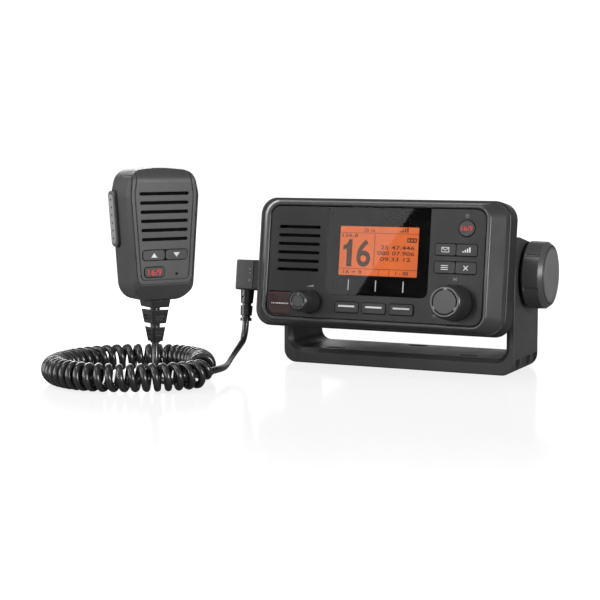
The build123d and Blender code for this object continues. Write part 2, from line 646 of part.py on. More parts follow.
# ---------------------------------------------------------------- keys, mat and board
def push_key(x, z, width, height, flange_left, flange_right, flange_high, corner, front, flange_at, tip):
    """A key: cap in its opening, flange behind the panel and a stem above its switch."""
    with BuildPart() as key:
        with BuildSketch(facing(flange_at)):
            with Locations((x, z)):
                RectangleRounded(width, height, corner)
        extrude(amount=flange_at - front)
        fillet(key.faces().sort_by(Axis.Y)[0].edges(), radius=0.35)
        with BuildSketch(facing(flange_at)):
            with Locations((x + (flange_right - flange_left) / 2, z)):
                Rectangle(width + flange_left + flange_right, height + 2 * flange_high)
        extrude(amount=-KEY_FLANGE_THICK)
        with BuildSketch(facing(flange_at)):
            with Locations((x, z)):
                Circle(STEM_R)
        extrude(amount=flange_at - tip)
    return key.part


KEY_FRONT = FACE - KEY_PROUD
for name, step in (("softkey_left", -1), ("softkey_middle", 0), ("softkey_right", 1)):
    softkey = push_key(
        SOFTKEY_X + step * SOFTKEY_PITCH, SOFTKEY_Z, SOFTKEY_WIDTH, SOFTKEY_HEIGHT,
        KEY_FLANGE, KEY_FLANGE, KEY_FLANGE, 1.2, KEY_FRONT, FLANGE_FRONT, STEM_TIP,
    )
    save(name, softkey, RADIO_PLACE)

pair_step = (PAIR_KEY_WIDTH + PAIR_SPLIT) / 2
for name, side, z in (
    ("key_call_menu", -1, PAIR_TOP_Z),
    ("key_power_level", 1, PAIR_TOP_Z),
    ("key_menu", -1, PAIR_BOTTOM_Z),
    ("key_clear", 1, PAIR_BOTTOM_Z),
):
    pair_key = push_key(
        PAIR_X + side * pair_step, z, PAIR_KEY_WIDTH, PAIR_KEY_HEIGHT,
        KEY_FLANGE if side < 0 else 0, KEY_FLANGE if side > 0 else 0, KEY_FLANGE,
        1.0, KEY_FRONT, FLANGE_FRONT, STEM_TIP,
    )
    save(name, pair_key, RADIO_PLACE)

with BuildPart() as key_channel_16:
    with BuildSketch(facing(FLANGE_FRONT)):
        with Locations((ROUND_KEY_X, ROUND_KEY_Z)):
            Circle(ROUND_KEY_R)
    extrude(amount=FLANGE_FRONT - KEY_FRONT)
    fillet(key_channel_16.faces().sort_by(Axis.Y)[0].edges(), radius=0.4)
    with BuildSketch(facing(FLANGE_FRONT)):
        with Locations((ROUND_KEY_X, ROUND_KEY_Z)):
            Circle(ROUND_KEY_R + KEY_FLANGE)
    extrude(amount=-KEY_FLANGE_THICK)
    with BuildSketch(facing(FLANGE_FRONT)):
        with Locations((ROUND_KEY_X, ROUND_KEY_Z)):
            Circle(STEM_R)
    extrude(amount=FLANGE_FRONT - STEM_TIP)
save("key_channel_16", key_channel_16.part, RADIO_PLACE)

distress_key = push_key(
    DISTRESS_KEY_X, DISTRESS_KEY_Z, DISTRESS_KEY, DISTRESS_KEY, 0.6, 0.6, 0.4, 2.0,
    FACE + DOOR_THICK + 0.3, PANEL_BACK + WEB_THICK + 0.1, STEM_TIP,
)
save("distress_key", distress_key, RADIO_PLACE)

BOARD_SIDE = OPENING_WIDTH / 2 - 0.4
BOARD_LOW = -OPENING_HEIGHT / 2 + 0.4
BOARD_HIGH = OPENING_HEIGHT / 2 - 0.4
STRIP_TOP = SPEAKER_Z - SPEAKER_R - 0.6
BOARD_INNER = SPEAKER_X + SPEAKER_R + 0.6
MAT_INNER = PAIR_X - PAIR_KEY_WIDTH - 3
BOARD_R = PANEL_R - LEDGE / 2

with BuildPart() as keypad_mat:
    with BuildSketch(facing(BOARD_FRONT)):
        with BuildLine():
            FilletPolyline(
                (-BOARD_SIDE, BOARD_LOW),
                (BOARD_SIDE, BOARD_LOW),
                (BOARD_SIDE, BOARD_HIGH),
                (MAT_INNER, BOARD_HIGH),
                (MAT_INNER, WINDOW_BOTTOM),
                (-BOARD_SIDE, WINDOW_BOTTOM),
                radius=(BOARD_R, BOARD_R, BOARD_R, 1.0, 1.0, 1.0),
                close=True,
            )
        make_face()
        with Locations((VOLUME_X, VOLUME_Z), (SELECT_X, SELECT_Z)):
            Rectangle(ENCODER_SIZE + 1, ENCODER_SIZE + 1, mode=Mode.SUBTRACT)
    extrude(amount=MAT_THICK)
save("keypad_mat", keypad_mat.part, RADIO_PLACE)

with BuildPart() as front_board:
    with BuildSketch(facing(BOARD_BACK)):
        with BuildLine():
            FilletPolyline(
                (-BOARD_SIDE, BOARD_LOW),
                (BOARD_SIDE, BOARD_LOW),
                (BOARD_SIDE, BOARD_HIGH),
                (BOARD_INNER, BOARD_HIGH),
                (BOARD_INNER, STRIP_TOP),
                (-BOARD_SIDE, STRIP_TOP),
                radius=(BOARD_R, BOARD_R, BOARD_R, 1.0, 1.0, 1.0),
                close=True,
            )
        make_face()
    extrude(amount=BOARD_THICK)
save("front_board", front_board.part, RADIO_PLACE)


# ---------------------------------------------------------------- face knobs
ENCODER_FRONT = PANEL_BACK + 0.05
CAVITY_FRONT = ENCODER_FRONT + 1.0
PLUNGER_FRONT = CAVITY_FRONT + 0.2
PLUNGER_THICK = 1.2
BUSHING_TIP = FACE - KNOB_OFF_FACE - 0.6
KNOB_BACK = FACE - KNOB_OFF_FACE
KNOB_TIP = KNOB_BACK - KNOB_LENGTH
SHAFT_TIP = KNOB_TIP + 5.0


# two rotary encoders with push switches: body, bushing and the room the plunger moves in
with BuildPart() as rotary_encoders:
    encoder_spots = ((VOLUME_X, VOLUME_Z), (SELECT_X, SELECT_Z))
    with BuildSketch(facing(BOARD_FRONT)):
        with Locations(*encoder_spots):
            RectangleRounded(ENCODER_SIZE, ENCODER_SIZE, 1.0)
    extrude(amount=BOARD_FRONT - ENCODER_FRONT)
    with BuildSketch(facing(ENCODER_FRONT)):
        with Locations(*encoder_spots):
            Circle(BUSHING_R)
    extrude(amount=ENCODER_FRONT - BUSHING_TIP)
    with BuildSketch(facing(BOARD_FRONT - 0.6)):
        with Locations(*encoder_spots):
            Circle(BUSHING_R + 0.6)
    extrude(amount=BOARD_FRONT - 0.6 - CAVITY_FRONT, mode=Mode.SUBTRACT)
    with BuildSketch(facing(CAVITY_FRONT)):
        with Locations(*encoder_spots):
            Circle(SHAFT_R + SHAFT_CLEAR)
    extrude(amount=CAVITY_FRONT - BUSHING_TIP, mode=Mode.SUBTRACT)
save("rotary_encoders", rotary_encoders.part, RADIO_PLACE)


def plunger(x, z):
    """The disc under the shaft that works the push switch."""
    with BuildPart() as disc:
        with BuildSketch(facing(PLUNGER_FRONT + PLUNGER_THICK)):
            with Locations((x, z)):
                Circle(BUSHING_R + 0.5)
        extrude(amount=PLUNGER_THICK)
    return disc.part


def shaft(x, z):
    """The knob's shaft, from the plunger to the knob's hub."""
    with BuildPart() as rod:
        with BuildSketch(facing(PLUNGER_FRONT - 0.05)):
            with Locations((x, z)):
                Circle(SHAFT_R)
        extrude(amount=PLUNGER_FRONT - 0.05 - SHAFT_TIP)
    return rod.part


def face_knob(x, z, base_r, tip_r, disc_share):
    """A tapering knob: hollow back, bore for the shaft, and a groove with three bridges in its front."""
    disc_r = tip_r * disc_share
    groove = tip_r * 0.085
    with BuildPart() as knob:
        with BuildSketch(lengthwise(x, KNOB_BACK, z)):
            with BuildLine():
                Polyline(
                    (0, 0),
                    (base_r, 0),
                    (base_r, -2.0),
                    (tip_r + 0.35 * (base_r - tip_r), -KNOB_LENGTH + 3.5),
                    (tip_r, -KNOB_LENGTH + 0.8),
                    (tip_r - 0.8, -KNOB_LENGTH),
                    (0, -KNOB_LENGTH),
                    close=True,
                )
            make_face()
        revolve(axis=Axis((x, 0, z), (0, 1, 0)))
        with BuildSketch(facing(KNOB_TIP)):
            with Locations((x, z)):
                Circle(disc_r + groove)
                Circle(disc_r, mode=Mode.SUBTRACT)
                with PolarLocations(disc_r + groove / 2, 3, start_angle=90):
                    Rectangle(2 * groove, tip_r * 0.3, mode=Mode.SUBTRACT)
        extrude(amount=-1.0, mode=Mode.SUBTRACT)
        with BuildSketch(facing(KNOB_BACK)):
            with Locations((x, z)):
                Circle(BUSHING_R + 1.0)
        extrude(amount=2.5, mode=Mode.SUBTRACT)
        with BuildSketch(facing(KNOB_BACK)):
            with Locations((x, z)):
                Circle(SHAFT_R + 0.02)
        extrude(amount=KNOB_BACK - SHAFT_TIP, mode=Mode.SUBTRACT)
    return knob.part


for name, x, z, base_r, tip_r, disc_share in (
    ("volume", VOLUME_X, VOLUME_Z, VOLUME_R, VOLUME_TIP_R, 0.67),
    ("select", SELECT_X, SELECT_Z, SELECT_R, SELECT_TIP_R, 0.74),
):
    save(f"{name}_plunger", plunger(x, z), RADIO_PLACE)
    save(f"{name}_shaft", shaft(x, z), RADIO_PLACE)
    save(f"{name}_knob", face_knob(x, z, base_r, tip_r, disc_share), RADIO_PLACE)


# ---------------------------------------------------------------- distress door
with BuildPart() as distress_door:
    left = DOOR_LEFT + KEY_GAP
    right = DOOR_RIGHT - KEY_GAP
    bottom = DOOR_BOTTOM + KEY_GAP
    with BuildSketch(facing(FACE + DOOR_THICK)):
        with BuildLine():
            FilletPolyline(
                (left, DOOR_AXIS_Z),
                (left, bottom),
                (right, bottom),
                (right, DOOR_AXIS_Z),
                radius=(0, corner_r - KEY_GAP, 0.6, 0),
                close=True,
            )
        make_face()
    extrude(amount=DOOR_THICK)
    # barrel and pivots along the top edge
    with BuildSketch(sideways(left)):
        with Locations((DOOR_AXIS_Y, DOOR_AXIS_Z)):
            Circle(DOOR_BARREL_R)
    extrude(amount=right - left)
    with BuildSketch(sideways(DOOR_LEFT - DOOR_PIN_LENGTH + 0.1)):
        with Locations((DOOR_AXIS_Y, DOOR_AXIS_Z)):
            Circle(DOOR_PIN_R)
    extrude(amount=DOOR_RIGHT - DOOR_LEFT + 2 * DOOR_PIN_LENGTH - 0.2)
    # grip along the lower edge
    with BuildSketch(facing(FACE)):
        with Locations(((left + right) / 2, bottom + 1.2)):
            Rectangle((right - left) / 2, 0.6)
    extrude(amount=0.4)
save("distress_door", distress_door.part, RADIO_PLACE)


# ---------------------------------------------------------------- loudspeaker
speaker_front = PANEL_BACK + 0.05
with BuildPart() as speaker_basket:
    with BuildSketch(lengthwise(SPEAKER_X, speaker_front, SPEAKER_Z)):
        with BuildLine():
            Polyline(
                (SPEAKER_R - SPEAKER_RIM, 0),
                (SPEAKER_R, 0),
                (SPEAKER_R, SPEAKER_RIM_DEPTH),
                (SPEAKER_R - SURROUND_WIDTH, SPEAKER_RIM_DEPTH + CONE_SEAT),
                (MAGNET_R, MAGNET_FRONT),
                (MAGNET_R, SPEAKER_DEPTH),
                (0, SPEAKER_DEPTH),
                (0, MAGNET_FRONT),
                (DUST_CAP_R + 1.0, MAGNET_FRONT),
                (DUST_CAP_R + 2.0, MAGNET_FRONT - 1.0),
                (SPEAKER_R - SPEAKER_RIM - SURROUND_WIDTH - 0.4, CONE_SEAT + 1.2),
                (SPEAKER_R - SPEAKER_RIM - 1.4, CONE_SEAT),
                (SPEAKER_R - SPEAKER_RIM, CONE_SEAT),
                close=True,
            )
        make_face()
    revolve(axis=Axis((SPEAKER_X, 0, SPEAKER_Z), (0, 1, 0)))
save("speaker_basket", speaker_basket.part, RADIO_PLACE)

with BuildPart() as speaker_cone:
    with BuildSketch(lengthwise(SPEAKER_X, speaker_front, SPEAKER_Z)):
        with BuildLine():
            Polyline(
                (SPEAKER_R - SPEAKER_RIM, CONE_SEAT - CONE_THICK),
                (SPEAKER_R - SPEAKER_RIM, CONE_SEAT),
                (SPEAKER_R - SPEAKER_RIM - SURROUND_WIDTH, CONE_SEAT),
                (SPEAKER_R - SPEAKER_RIM - SURROUND_WIDTH - 1.6, CONE_SEAT + 0.8),
                (DUST_CAP_R, CONE_DEPTH),
                (0, CONE_DEPTH - DUST_CAP_RISE),
                (0, CONE_DEPTH - DUST_CAP_RISE - CONE_THICK),
                (DUST_CAP_R, CONE_DEPTH - CONE_THICK),
                (SPEAKER_R - SPEAKER_RIM - SURROUND_WIDTH - 1.9, CONE_SEAT + 0.8 - CONE_THICK),
                (SPEAKER_R - SPEAKER_RIM - SURROUND_WIDTH, CONE_SEAT - CONE_THICK),
                close=True,
            )
        make_face()
    revolve(axis=Axis((SPEAKER_X, 0, SPEAKER_Z), (0, 1, 0)))
save("speaker_cone", speaker_cone.part, RADIO_PLACE)


# ---------------------------------------------------------------- chassis
def chassis_form(wall):
    """The chassis's body, drawn in by a wall's thickness; its top comes down behind the flange."""
    width = CHASSIS_WIDTH - 2 * wall
    corner = CHASSIS_R - wall
    back = CHASSIS_BACK - wall
    with BuildPart() as form:
        with BuildSketch(facing(back)):
            with Locations((0, -CHASSIS_TOP_DROP / 2)):
                RectangleRounded(width, REAR_HEIGHT - 2 * wall, corner)
        extrude(amount=back - SHOULDER_END)
        with BuildSketch(facing(SHOULDER_END)):
            with Locations((0, -CHASSIS_TOP_DROP / 2)):
                RectangleRounded(width, REAR_HEIGHT - 2 * wall, corner)
        with BuildSketch(facing(CHASSIS_FRONT)):
            RectangleRounded(width, CHASSIS_HEIGHT - 2 * wall, corner)
        loft()
    return form.part


chassis_outside = chassis_form(0)
chassis_cavity = chassis_form(CHASSIS_WALL)

with BuildPart() as rear_chassis:
    add(chassis_outside)
    with BuildSketch(facing(FLANGE_BACK)):
        RectangleRounded(FLANGE_WIDTH, FLANGE_HEIGHT, CHASSIS_R + 2)
    extrude(amount=FLANGE_THICK)
    # side bosses for the tilt clamp, outside and inside
    for side in (-1, 1):
        inner_face = min(side * BOSS_FACE, side * (BOSS_FACE - INSERT_LENGTH))
        with BuildSketch(sideways(inner_face)):
            Circle(SIDE_BOSS_R)
        extrude(amount=INSERT_LENGTH)
    # cavity, open at the front, with the inner bosses left standing
    add(chassis_cavity, mode=Mode.SUBTRACT)
    for side in (-1, 1):
        inner_face = min(side * BOSS_FACE, side * (BOSS_FACE - INSERT_LENGTH))
        with BuildSketch(sideways(inner_face)):
            Circle(INSERT_R + 3)
        extrude(amount=INSERT_LENGTH)
    with BuildSketch(sideways(-BOSS_FACE)):
        Circle(INSERT_R)
    extrude(amount=2 * BOSS_FACE, mode=Mode.SUBTRACT)
    # cooling fins on the back
    fin_height = REAR_TOP - FIN_BOTTOM - 1.5
    with BuildSketch(facing(CHASSIS_BACK)):
        with Locations((0, FIN_BOTTOM + fin_height / 2)):
            with GridLocations(FIN_PITCH, 0, FIN_COUNT, 1):
                Rectangle(FIN_THICK, fin_height)
    extrude(amount=-FIN_DEPTH)
    # posts under the main board
    with BuildSketch(Plane.XY.offset(-CHASSIS_HEIGHT / 2 + 1)):
        with Locations((0, (CHASSIS_BACK + CHASSIS_FRONT) / 2)):
            with GridLocations(MAIN_BOARD_WIDTH - 12, MAIN_BOARD_LENGTH - 12, 2, 2):
                Circle(3.0)
    extrude(amount=CHASSIS_HEIGHT / 2 - 1 + MAIN_BOARD_Z - BOARD_THICK / 2)
    # holes: screws, antenna socket, cable glands
    with BuildSketch(facing(FLANGE_BACK)):
        with GridLocations(2 * SCREW_X, 2 * screw_z, 2, 2):
            Circle(SCREW_R + 0.1)
    extrude(amount=FLANGE_THICK, mode=Mode.SUBTRACT)
    with BuildSketch(facing(CHASSIS_BACK)):
        with Locations((SOCKET_X, SOCKET_Z)):
            Circle(SOCKET_R - 1.5)
        with Locations(*[(x, SOCKET_Z) for x in GLAND_X]):
            Circle(GLAND_R - 1.5)
    extrude(amount=CHASSIS_WALL, mode=Mode.SUBTRACT)
save("rear_chassis", rear_chassis.part, RADIO_PLACE)

with BuildPart() as chassis_gasket:
    with BuildSketch(facing(CHASSIS_FRONT)):
        RectangleRounded(FLANGE_WIDTH, FLANGE_HEIGHT, CHASSIS_R + 2)
        RectangleRounded(OPENING_WIDTH, OPENING_HEIGHT, CHASSIS_R, mode=Mode.SUBTRACT)
        with GridLocations(2 * SCREW_X, 2 * screw_z, 2, 2):
            Circle(SCREW_R + 0.1, mode=Mode.SUBTRACT)
    extrude(amount=GASKET_THICK)
save("chassis_gasket", chassis_gasket.part, RADIO_PLACE)

with BuildPart() as chassis_screws:
    with BuildSketch(facing(FLANGE_BACK)):
        with GridLocations(2 * SCREW_X, 2 * screw_z, 2, 2):
            Circle(SCREW_R)
    extrude(amount=SCREW_LENGTH)
    with BuildSketch(facing(FLANGE_BACK)):
        with GridLocations(2 * SCREW_X, 2 * screw_z, 2, 2):
            Circle(SCREW_HEAD_R)
    extrude(amount=-SCREW_HEAD)
save("chassis_screws", chassis_screws.part, RADIO_PLACE)

with BuildPart() as main_board:
    with BuildSketch(Plane.XY.offset(MAIN_BOARD_Z - BOARD_THICK / 2)):
        with Locations((0, (CHASSIS_BACK + CHASSIS_FRONT) / 2)):
            Rectangle(MAIN_BOARD_WIDTH, MAIN_BOARD_LENGTH)
    extrude(amount=BOARD_THICK)
save("main_board", main_board.part, RADIO_PLACE)

with BuildPart() as shield_can:
    with BuildSketch(Plane.XY.offset(MAIN_BOARD_Z + BOARD_THICK / 2)):
        with Locations((0, (CHASSIS_BACK + CHASSIS_FRONT) / 2 + 6)):
            RectangleRounded(SHIELD_WIDTH, SHIELD_LENGTH, 1.5)
            RectangleRounded(SHIELD_WIDTH - 1.2, SHIELD_LENGTH - 1.2, 0.9, mode=Mode.SUBTRACT)
    extrude(amount=SHIELD_HEIGHT)
    with BuildSketch(Plane.XY.offset(MAIN_BOARD_Z + BOARD_THICK / 2 + SHIELD_HEIGHT - 0.6)):
        with Locations((0, (CHASSIS_BACK + CHASSIS_FRONT) / 2 + 6)):
            RectangleRounded(SHIELD_WIDTH, SHIELD_LENGTH, 1.5)
    extrude(amount=0.6)
save("shield_can", shield_can.part, RADIO_PLACE)

with BuildPart() as antenna_socket:
    with BuildSketch(facing(CHASSIS_BACK)):
        with Locations((SOCKET_X, SOCKET_Z)):
            RectangleRounded(SOCKET_FLANGE, SOCKET_FLANGE, 2.0)
    extrude(amount=-SOCKET_FLANGE_THICK)
    with BuildSketch(facing(CHASSIS_BACK - CHASSIS_WALL)):
        with Locations((SOCKET_X, SOCKET_Z)):
            Circle(SOCKET_R - 1.6)
    extrude(amount=-CHASSIS_WALL)
    with BuildSketch(facing(CHASSIS_BACK)):
        with Locations((SOCKET_X, SOCKET_Z)):
            Circle(SOCKET_R)
    extrude(amount=-SOCKET_LENGTH)
    chamfer(antenna_socket.faces().sort_by(Axis.Y)[-1].edges(), length=0.8)
    with BuildSketch(facing(CHASSIS_BACK + SOCKET_LENGTH)):
        with Locations((SOCKET_X, SOCKET_Z)):
            Circle(SOCKET_R - 1.9)
            Circle(SOCKET_R - 3.4, mode=Mode.SUBTRACT)
            Circle(SOCKET_BORE_R)
    extrude(amount=SOCKET_LENGTH - SOCKET_FLANGE_THICK, mode=Mode.SUBTRACT)
save("antenna_socket", antenna_socket.part, RADIO_PLACE)

with BuildPart() as cable_glands:
    for gland_x in GLAND_X:
        with BuildSketch(facing(CHASSIS_BACK)):
            with Locations((gland_x, SOCKET_Z)):
                Circle(GLAND_R)
        extrude(amount=-GLAND_LENGTH)
        with BuildSketch(facing(CHASSIS_BACK - CHASSIS_WALL)):
            with Locations((gland_x, SOCKET_Z)):
                Circle(GLAND_R - 1.6)
        extrude(amount=-CHASSIS_WALL)
    chamfer(cable_glands.faces().filter_by(Axis.Y).sort_by(Axis.Y)[-1].edges(), length=1.0)
    chamfer(cable_glands.faces().filter_by(Axis.Y).sort_by(Axis.Y)[-2].edges(), length=1.0)
    with BuildSketch(facing(CHASSIS_BACK + GLAND_LENGTH)):
        with Locations(*[(x, SOCKET_Z) for x in GLAND_X]):
            Circle(GLAND_BORE_R)
    extrude(amount=GLAND_LENGTH + CHASSIS_WALL, mode=Mode.SUBTRACT)
save("cable_glands", cable_glands.part, RADIO_PLACE)


# ---------------------------------------------------------------- tilt clamp
with BuildPart() as side_inserts:
    for side in (-1, 1):
        with BuildSketch(sideways(min(side * BOSS_FACE, side * (BOSS_FACE - INSERT_LENGTH)))):
            Circle(INSERT_R)
            Circle(STUD_R + STUD_CLEAR, mode=Mode.SUBTRACT)
        extrude(amount=INSERT_LENGTH)
save("side_inserts", side_inserts.part, RADIO_PLACE)

with BuildPart() as ratchet_washers:
    for side in (-1, 1):
        with BuildSketch(sideways(min(side * BOSS_FACE, side * (BOSS_FACE + RATCHET_THICK)))):
            Circle(SIDE_BOSS_R)
            Circle(ARM_HOLE_R, mode=Mode.SUBTRACT)
        extrude(amount=RATCHET_THICK)
save("ratchet_washers", ratchet_washers.part, RADIO_PLACE)

WASHER_INNER = ARM_OUTER + WASHER_GAP
KNOB_INNER = WASHER_INNER + CLAMP_WASHER_THICK
KNOB_OUTER = KNOB_INNER + CLAMP_KNOB_LENGTH
cap_sphere = (CLAMP_CAP_R ** 2 + CLAMP_CAP_RISE ** 2) / (2 * CLAMP_CAP_RISE)
cap_centre = KNOB_OUTER + 0.4 + CLAMP_CAP_RISE - cap_sphere
cap_angle = asin(CLAMP_CAP_R / cap_sphere)
for name, side in (("left", -1), ("right", 1)):
    with BuildPart() as clamp_washer:
        with BuildSketch(sideways(min(side * WASHER_INNER, side * KNOB_INNER))):
            Circle(CLAMP_WASHER_R)
            Circle(STUD_R + STUD_CLEAR, mode=Mode.SUBTRACT)
        extrude(amount=CLAMP_WASHER_THICK)
    save(f"{name}_clamp_washer", clamp_washer.part, RADIO_PLACE)

    with BuildPart() as clamp_stud:
        stud_start = side * (BOSS_FACE - INSERT_LENGTH + 1.0)
        stud_end = side * (KNOB_INNER + 7.0)
        with BuildSketch(sideways(min(stud_start, stud_end))):
            Circle(STUD_R)
        extrude(amount=abs(stud_end - stud_start))
    save(f"{name}_clamp_stud", clamp_stud.part, RADIO_PLACE)

    with BuildPart() as clamp_knob:
        with BuildSketch(Plane.XZ):
            with BuildLine():
                Polyline(
                    (side * KNOB_INNER, 0),
                    (side * KNOB_INNER, CLAMP_KNOB_R - 1.2),
                    (side * (KNOB_INNER + 1.2), CLAMP_KNOB_R),
                    (side * (KNOB_OUTER - CLAMP_KNOB_BEVEL), CLAMP_KNOB_R - 0.3),
                    (side * KNOB_OUTER, CLAMP_KNOB_RIM_R),
                    (side * KNOB_OUTER, CLAMP_CAP_R + 0.8),
                    (side * (KNOB_OUTER - 1.0), CLAMP_CAP_R + 0.4),
                    (side * (KNOB_OUTER + 0.4), CLAMP_CAP_R),
                )
                ThreePointArc(
                    (side * (KNOB_OUTER + 0.4), CLAMP_CAP_R),
                    (side * (cap_centre + cap_sphere * cos(cap_angle / 2)), cap_sphere * sin(cap_angle / 2)),
                    (side * (KNOB_OUTER + 0.4 + CLAMP_CAP_RISE), 0),
                )
                Line((side * (KNOB_OUTER + 0.4 + CLAMP_CAP_RISE), 0), (side * KNOB_INNER, 0))
            make_face()
        revolve(axis=Axis.X)
        # finger grips round the rim
        with BuildSketch(sideways(min(side * (KNOB_INNER + 1.8), side * (KNOB_OUTER - 2.6)))):
            with PolarLocations(CLAMP_KNOB_R + GRIP_OUT, GRIP_COUNT, start_angle=28):
                Circle(GRIP_R)
        extrude(amount=CLAMP_KNOB_LENGTH - 4.4, mode=Mode.SUBTRACT)
        # recess for the stud
        with BuildSketch(sideways(min(side * KNOB_INNER, stud_end))):
            Circle(STUD_R + 0.02)
        extrude(amount=7.0, mode=Mode.SUBTRACT)
    save(f"{name}_clamp_knob", clamp_knob.part, RADIO_PLACE)


# ---------------------------------------------------------------- microphone socket and plug
housing_side = -BEZEL_WIDTH / 2
plug_inner = PLUG_X + PLUG_WIDTH / 2
with BuildPart() as mic_socket:
    with BuildSketch(sideways(housing_side)):
        with Locations((PLUG_Y, PLUG_Z)):
            Circle(PLUG_COLLAR_R)
            Circle(PLUG_SPIGOT_R + 0.1, mode=Mode.SUBTRACT)
    extrude(amount=PLUG_SPIGOT_LENGTH)
    with BuildSketch(sideways(housing_side + PLUG_SPIGOT_LENGTH)):
        with Locations((PLUG_Y, PLUG_Z)):
            Circle(PLUG_COLLAR_R)
    extrude(amount=2.0)
save("mic_socket", mic_socket.part, RADIO_PLACE)

with BuildPart() as plug_housing:
    add(plug_block(plug_inner - PLUG_WIDTH, plug_inner))
    outer_edges = plug_housing.faces().sort_by(Axis.X)[0].edges()
    fillet(outer_edges, radius=PLUG_EDGE)
    chamfer(plug_housing.faces().sort_by(Axis.X)[-1].edges(), length=PLUG_SEAM)
    with BuildSketch(sideways(plug_inner)):
        with Locations((PLUG_Y, PLUG_Z)):
            Circle(PLUG_SPIGOT_R)
    extrude(amount=housing_side - plug_inner + PLUG_SPIGOT_LENGTH - 0.3)
save("plug_housing", plug_housing.part, RADIO_PLACE)

with BuildPart() as plug_boot:
    boot_top = PLUG_Z - PLUG_HEIGHT / 2
    with BuildSketch(Plane(origin=(PLUG_X, PLUG_Y, boot_top), x_dir=(1, 0, 0), z_dir=(0, -1, 0))):
        with BuildLine():
            Polyline(
                (0, 0),
                (BOOT_TOP_R, 0),
                (BOOT_MIDDLE_R, -BOOT_FIRST_GROOVE),
                (BOOT_MIDDLE_R - BOOT_GROOVE, -BOOT_FIRST_GROOVE - 0.3),
                (BOOT_MIDDLE_R - BOOT_GROOVE, -BOOT_FIRST_GROOVE - BOOT_GROOVE_WIDTH + 0.3),
                (BOOT_MIDDLE_R, -BOOT_FIRST_GROOVE - BOOT_GROOVE_WIDTH),
                (BOOT_TIP_R, -BOOT_SECOND_GROOVE),
                (BOOT_TIP_R - BOOT_GROOVE, -BOOT_SECOND_GROOVE - 0.3),
                (BOOT_TIP_R - BOOT_GROOVE, -BOOT_SECOND_GROOVE - BOOT_GROOVE_WIDTH + 0.3),
                (BOOT_TIP_R, -BOOT_SECOND_GROOVE - BOOT_GROOVE_WIDTH),
                (BOOT_TIP_R, -BOOT_LENGTH),
                (0, -BOOT_LENGTH),
                close=True,
            )
        make_face()
    revolve(axis=Axis((PLUG_X, PLUG_Y, 0), (0, 0, 1)))
    # a bending slit across each face, half way along the two longer blocks
    for below in (BOOT_FIRST_GROOVE * 0.6, (BOOT_FIRST_GROOVE + BOOT_GROOVE_WIDTH + BOOT_SECOND_GROOVE) / 2):
        with BuildSketch(Plane.XY.offset(boot_top - below)):
            with Locations((PLUG_X, PLUG_Y)):
                Rectangle(BOOT_TIP_R, 4 * BOOT_TOP_R)
                Rectangle(4 * BOOT_TOP_R, BOOT_TIP_R)
                Circle(BOOT_TIP_R - 0.2, mode=Mode.SUBTRACT)
        extrude(amount=BOOT_SLIT, mode=Mode.SUBTRACT)
save("plug_boot", plug_boot.part, RADIO_PLACE)


# ---------------------------------------------------------------- hand microphone case
def mic_outline(inset, foot, crown):
    """The microphone's front outline between two heights, narrower at the foot and drawn in at the sides."""
    top_half = MIC_WIDTH / 2 - inset
    foot_half = top_half - MIC_TAPER * (MIC_SHOULDER_Z - foot) / MIC_SHOULDER_Z
    side = (
        (foot_half, foot),
        (top_half, MIC_SHOULDER_Z),
        (top_half - MIC_CORNER_IN, crown - MIC_CORNER_DROP),
    )
    points = (*side, (0, crown), *[(-x, z) for x, z in reversed(side)])
    foot_r = max(MIC_FOOT_R - inset - foot / 2, 3.0)
    shoulder_r = MIC_SHOULDER_R - inset
    corner_r = MIC_CORNER_R - inset
    radii = (foot_r, shoulder_r, corner_r, MIC_CROWN_R, corner_r, shoulder_r, foot_r)
    with BuildLine() as outline:
        FilletPolyline(*points, radius=radii, close=True)
    return outline.wires()[0]


def mic_form(wall):
    """The case's whole form, drawn in all round by a wall's thickness."""
    front = MIC_FACE + wall
    back = MIC_BACK - wall
    crown = MIC_HEIGHT - wall
    case_outline = mic_outline(wall, wall, crown)
    with BuildPart() as form:
        with BuildSketch(facing(front + MIC_BEVEL)):
            make_face(case_outline)
        with BuildSketch(facing(front)):
            make_face(mic_outline(wall + MIC_RIM_IN, MIC_RIM_FOOT + wall / 2, crown))
        loft()
        with BuildSketch(facing(back - MIC_REAR_BEVEL)):
            make_face(case_outline)
        extrude(amount=back - MIC_REAR_BEVEL - front - MIC_BEVEL)
        with BuildSketch(facing(back - MIC_REAR_BEVEL)):
            make_face(case_outline)
        with BuildSketch(facing(back)):
            make_face(mic_outline(wall + MIC_REAR_IN, wall + MIC_REAR_IN, crown - MIC_REAR_IN))
        loft()
        # seen from the side: a rolled-over top and a chin that slopes back
        with BuildSketch(sideways(-MIC_WIDTH)):
            with BuildLine():
                FilletPolyline(
                    (MIC_FACE, MIC_HEIGHT),
                    (MIC_FACE, MIC_RIM_FOOT),
                    (MIC_FACE + MIC_CHIN_BACK, 0),
                    (MIC_BACK, 0),
                    (MIC_BACK, MIC_HEIGHT),
                    radius=(MIC_TOP_FRONT_R, 3.0, 2.5, 2.5, MIC_TOP_BACK_R),
                    close=True,
                )
            make_face()
            if wall:
                offset(amount=-wall)
        extrude(amount=2 * MIC_WIDTH, mode=Mode.INTERSECT)
    return form.part


def on_mic_side(depth):
    """A plane along the case's leaning left side, facing in, that far under its surface."""
    lean = atan2(MIC_TAPER, MIC_SHOULDER_Z)
    inward = Vector(cos(lean), 0, sin(lean))
    shoulder = Vector(-MIC_WIDTH / 2, 0, MIC_SHOULDER_Z)
    return Plane(origin=shoulder + inward * depth, x_dir=(0, 1, 0), z_dir=inward)


mic_screw_spots = [(x, z) for z in (MIC_SCREW_LOW, MIC_SCREW_HIGH) for x in (-MIC_SCREW_X, MIC_SCREW_X)]
mic_outside = mic_form(0)
mic_hollow = mic_form(MIC_WALL)

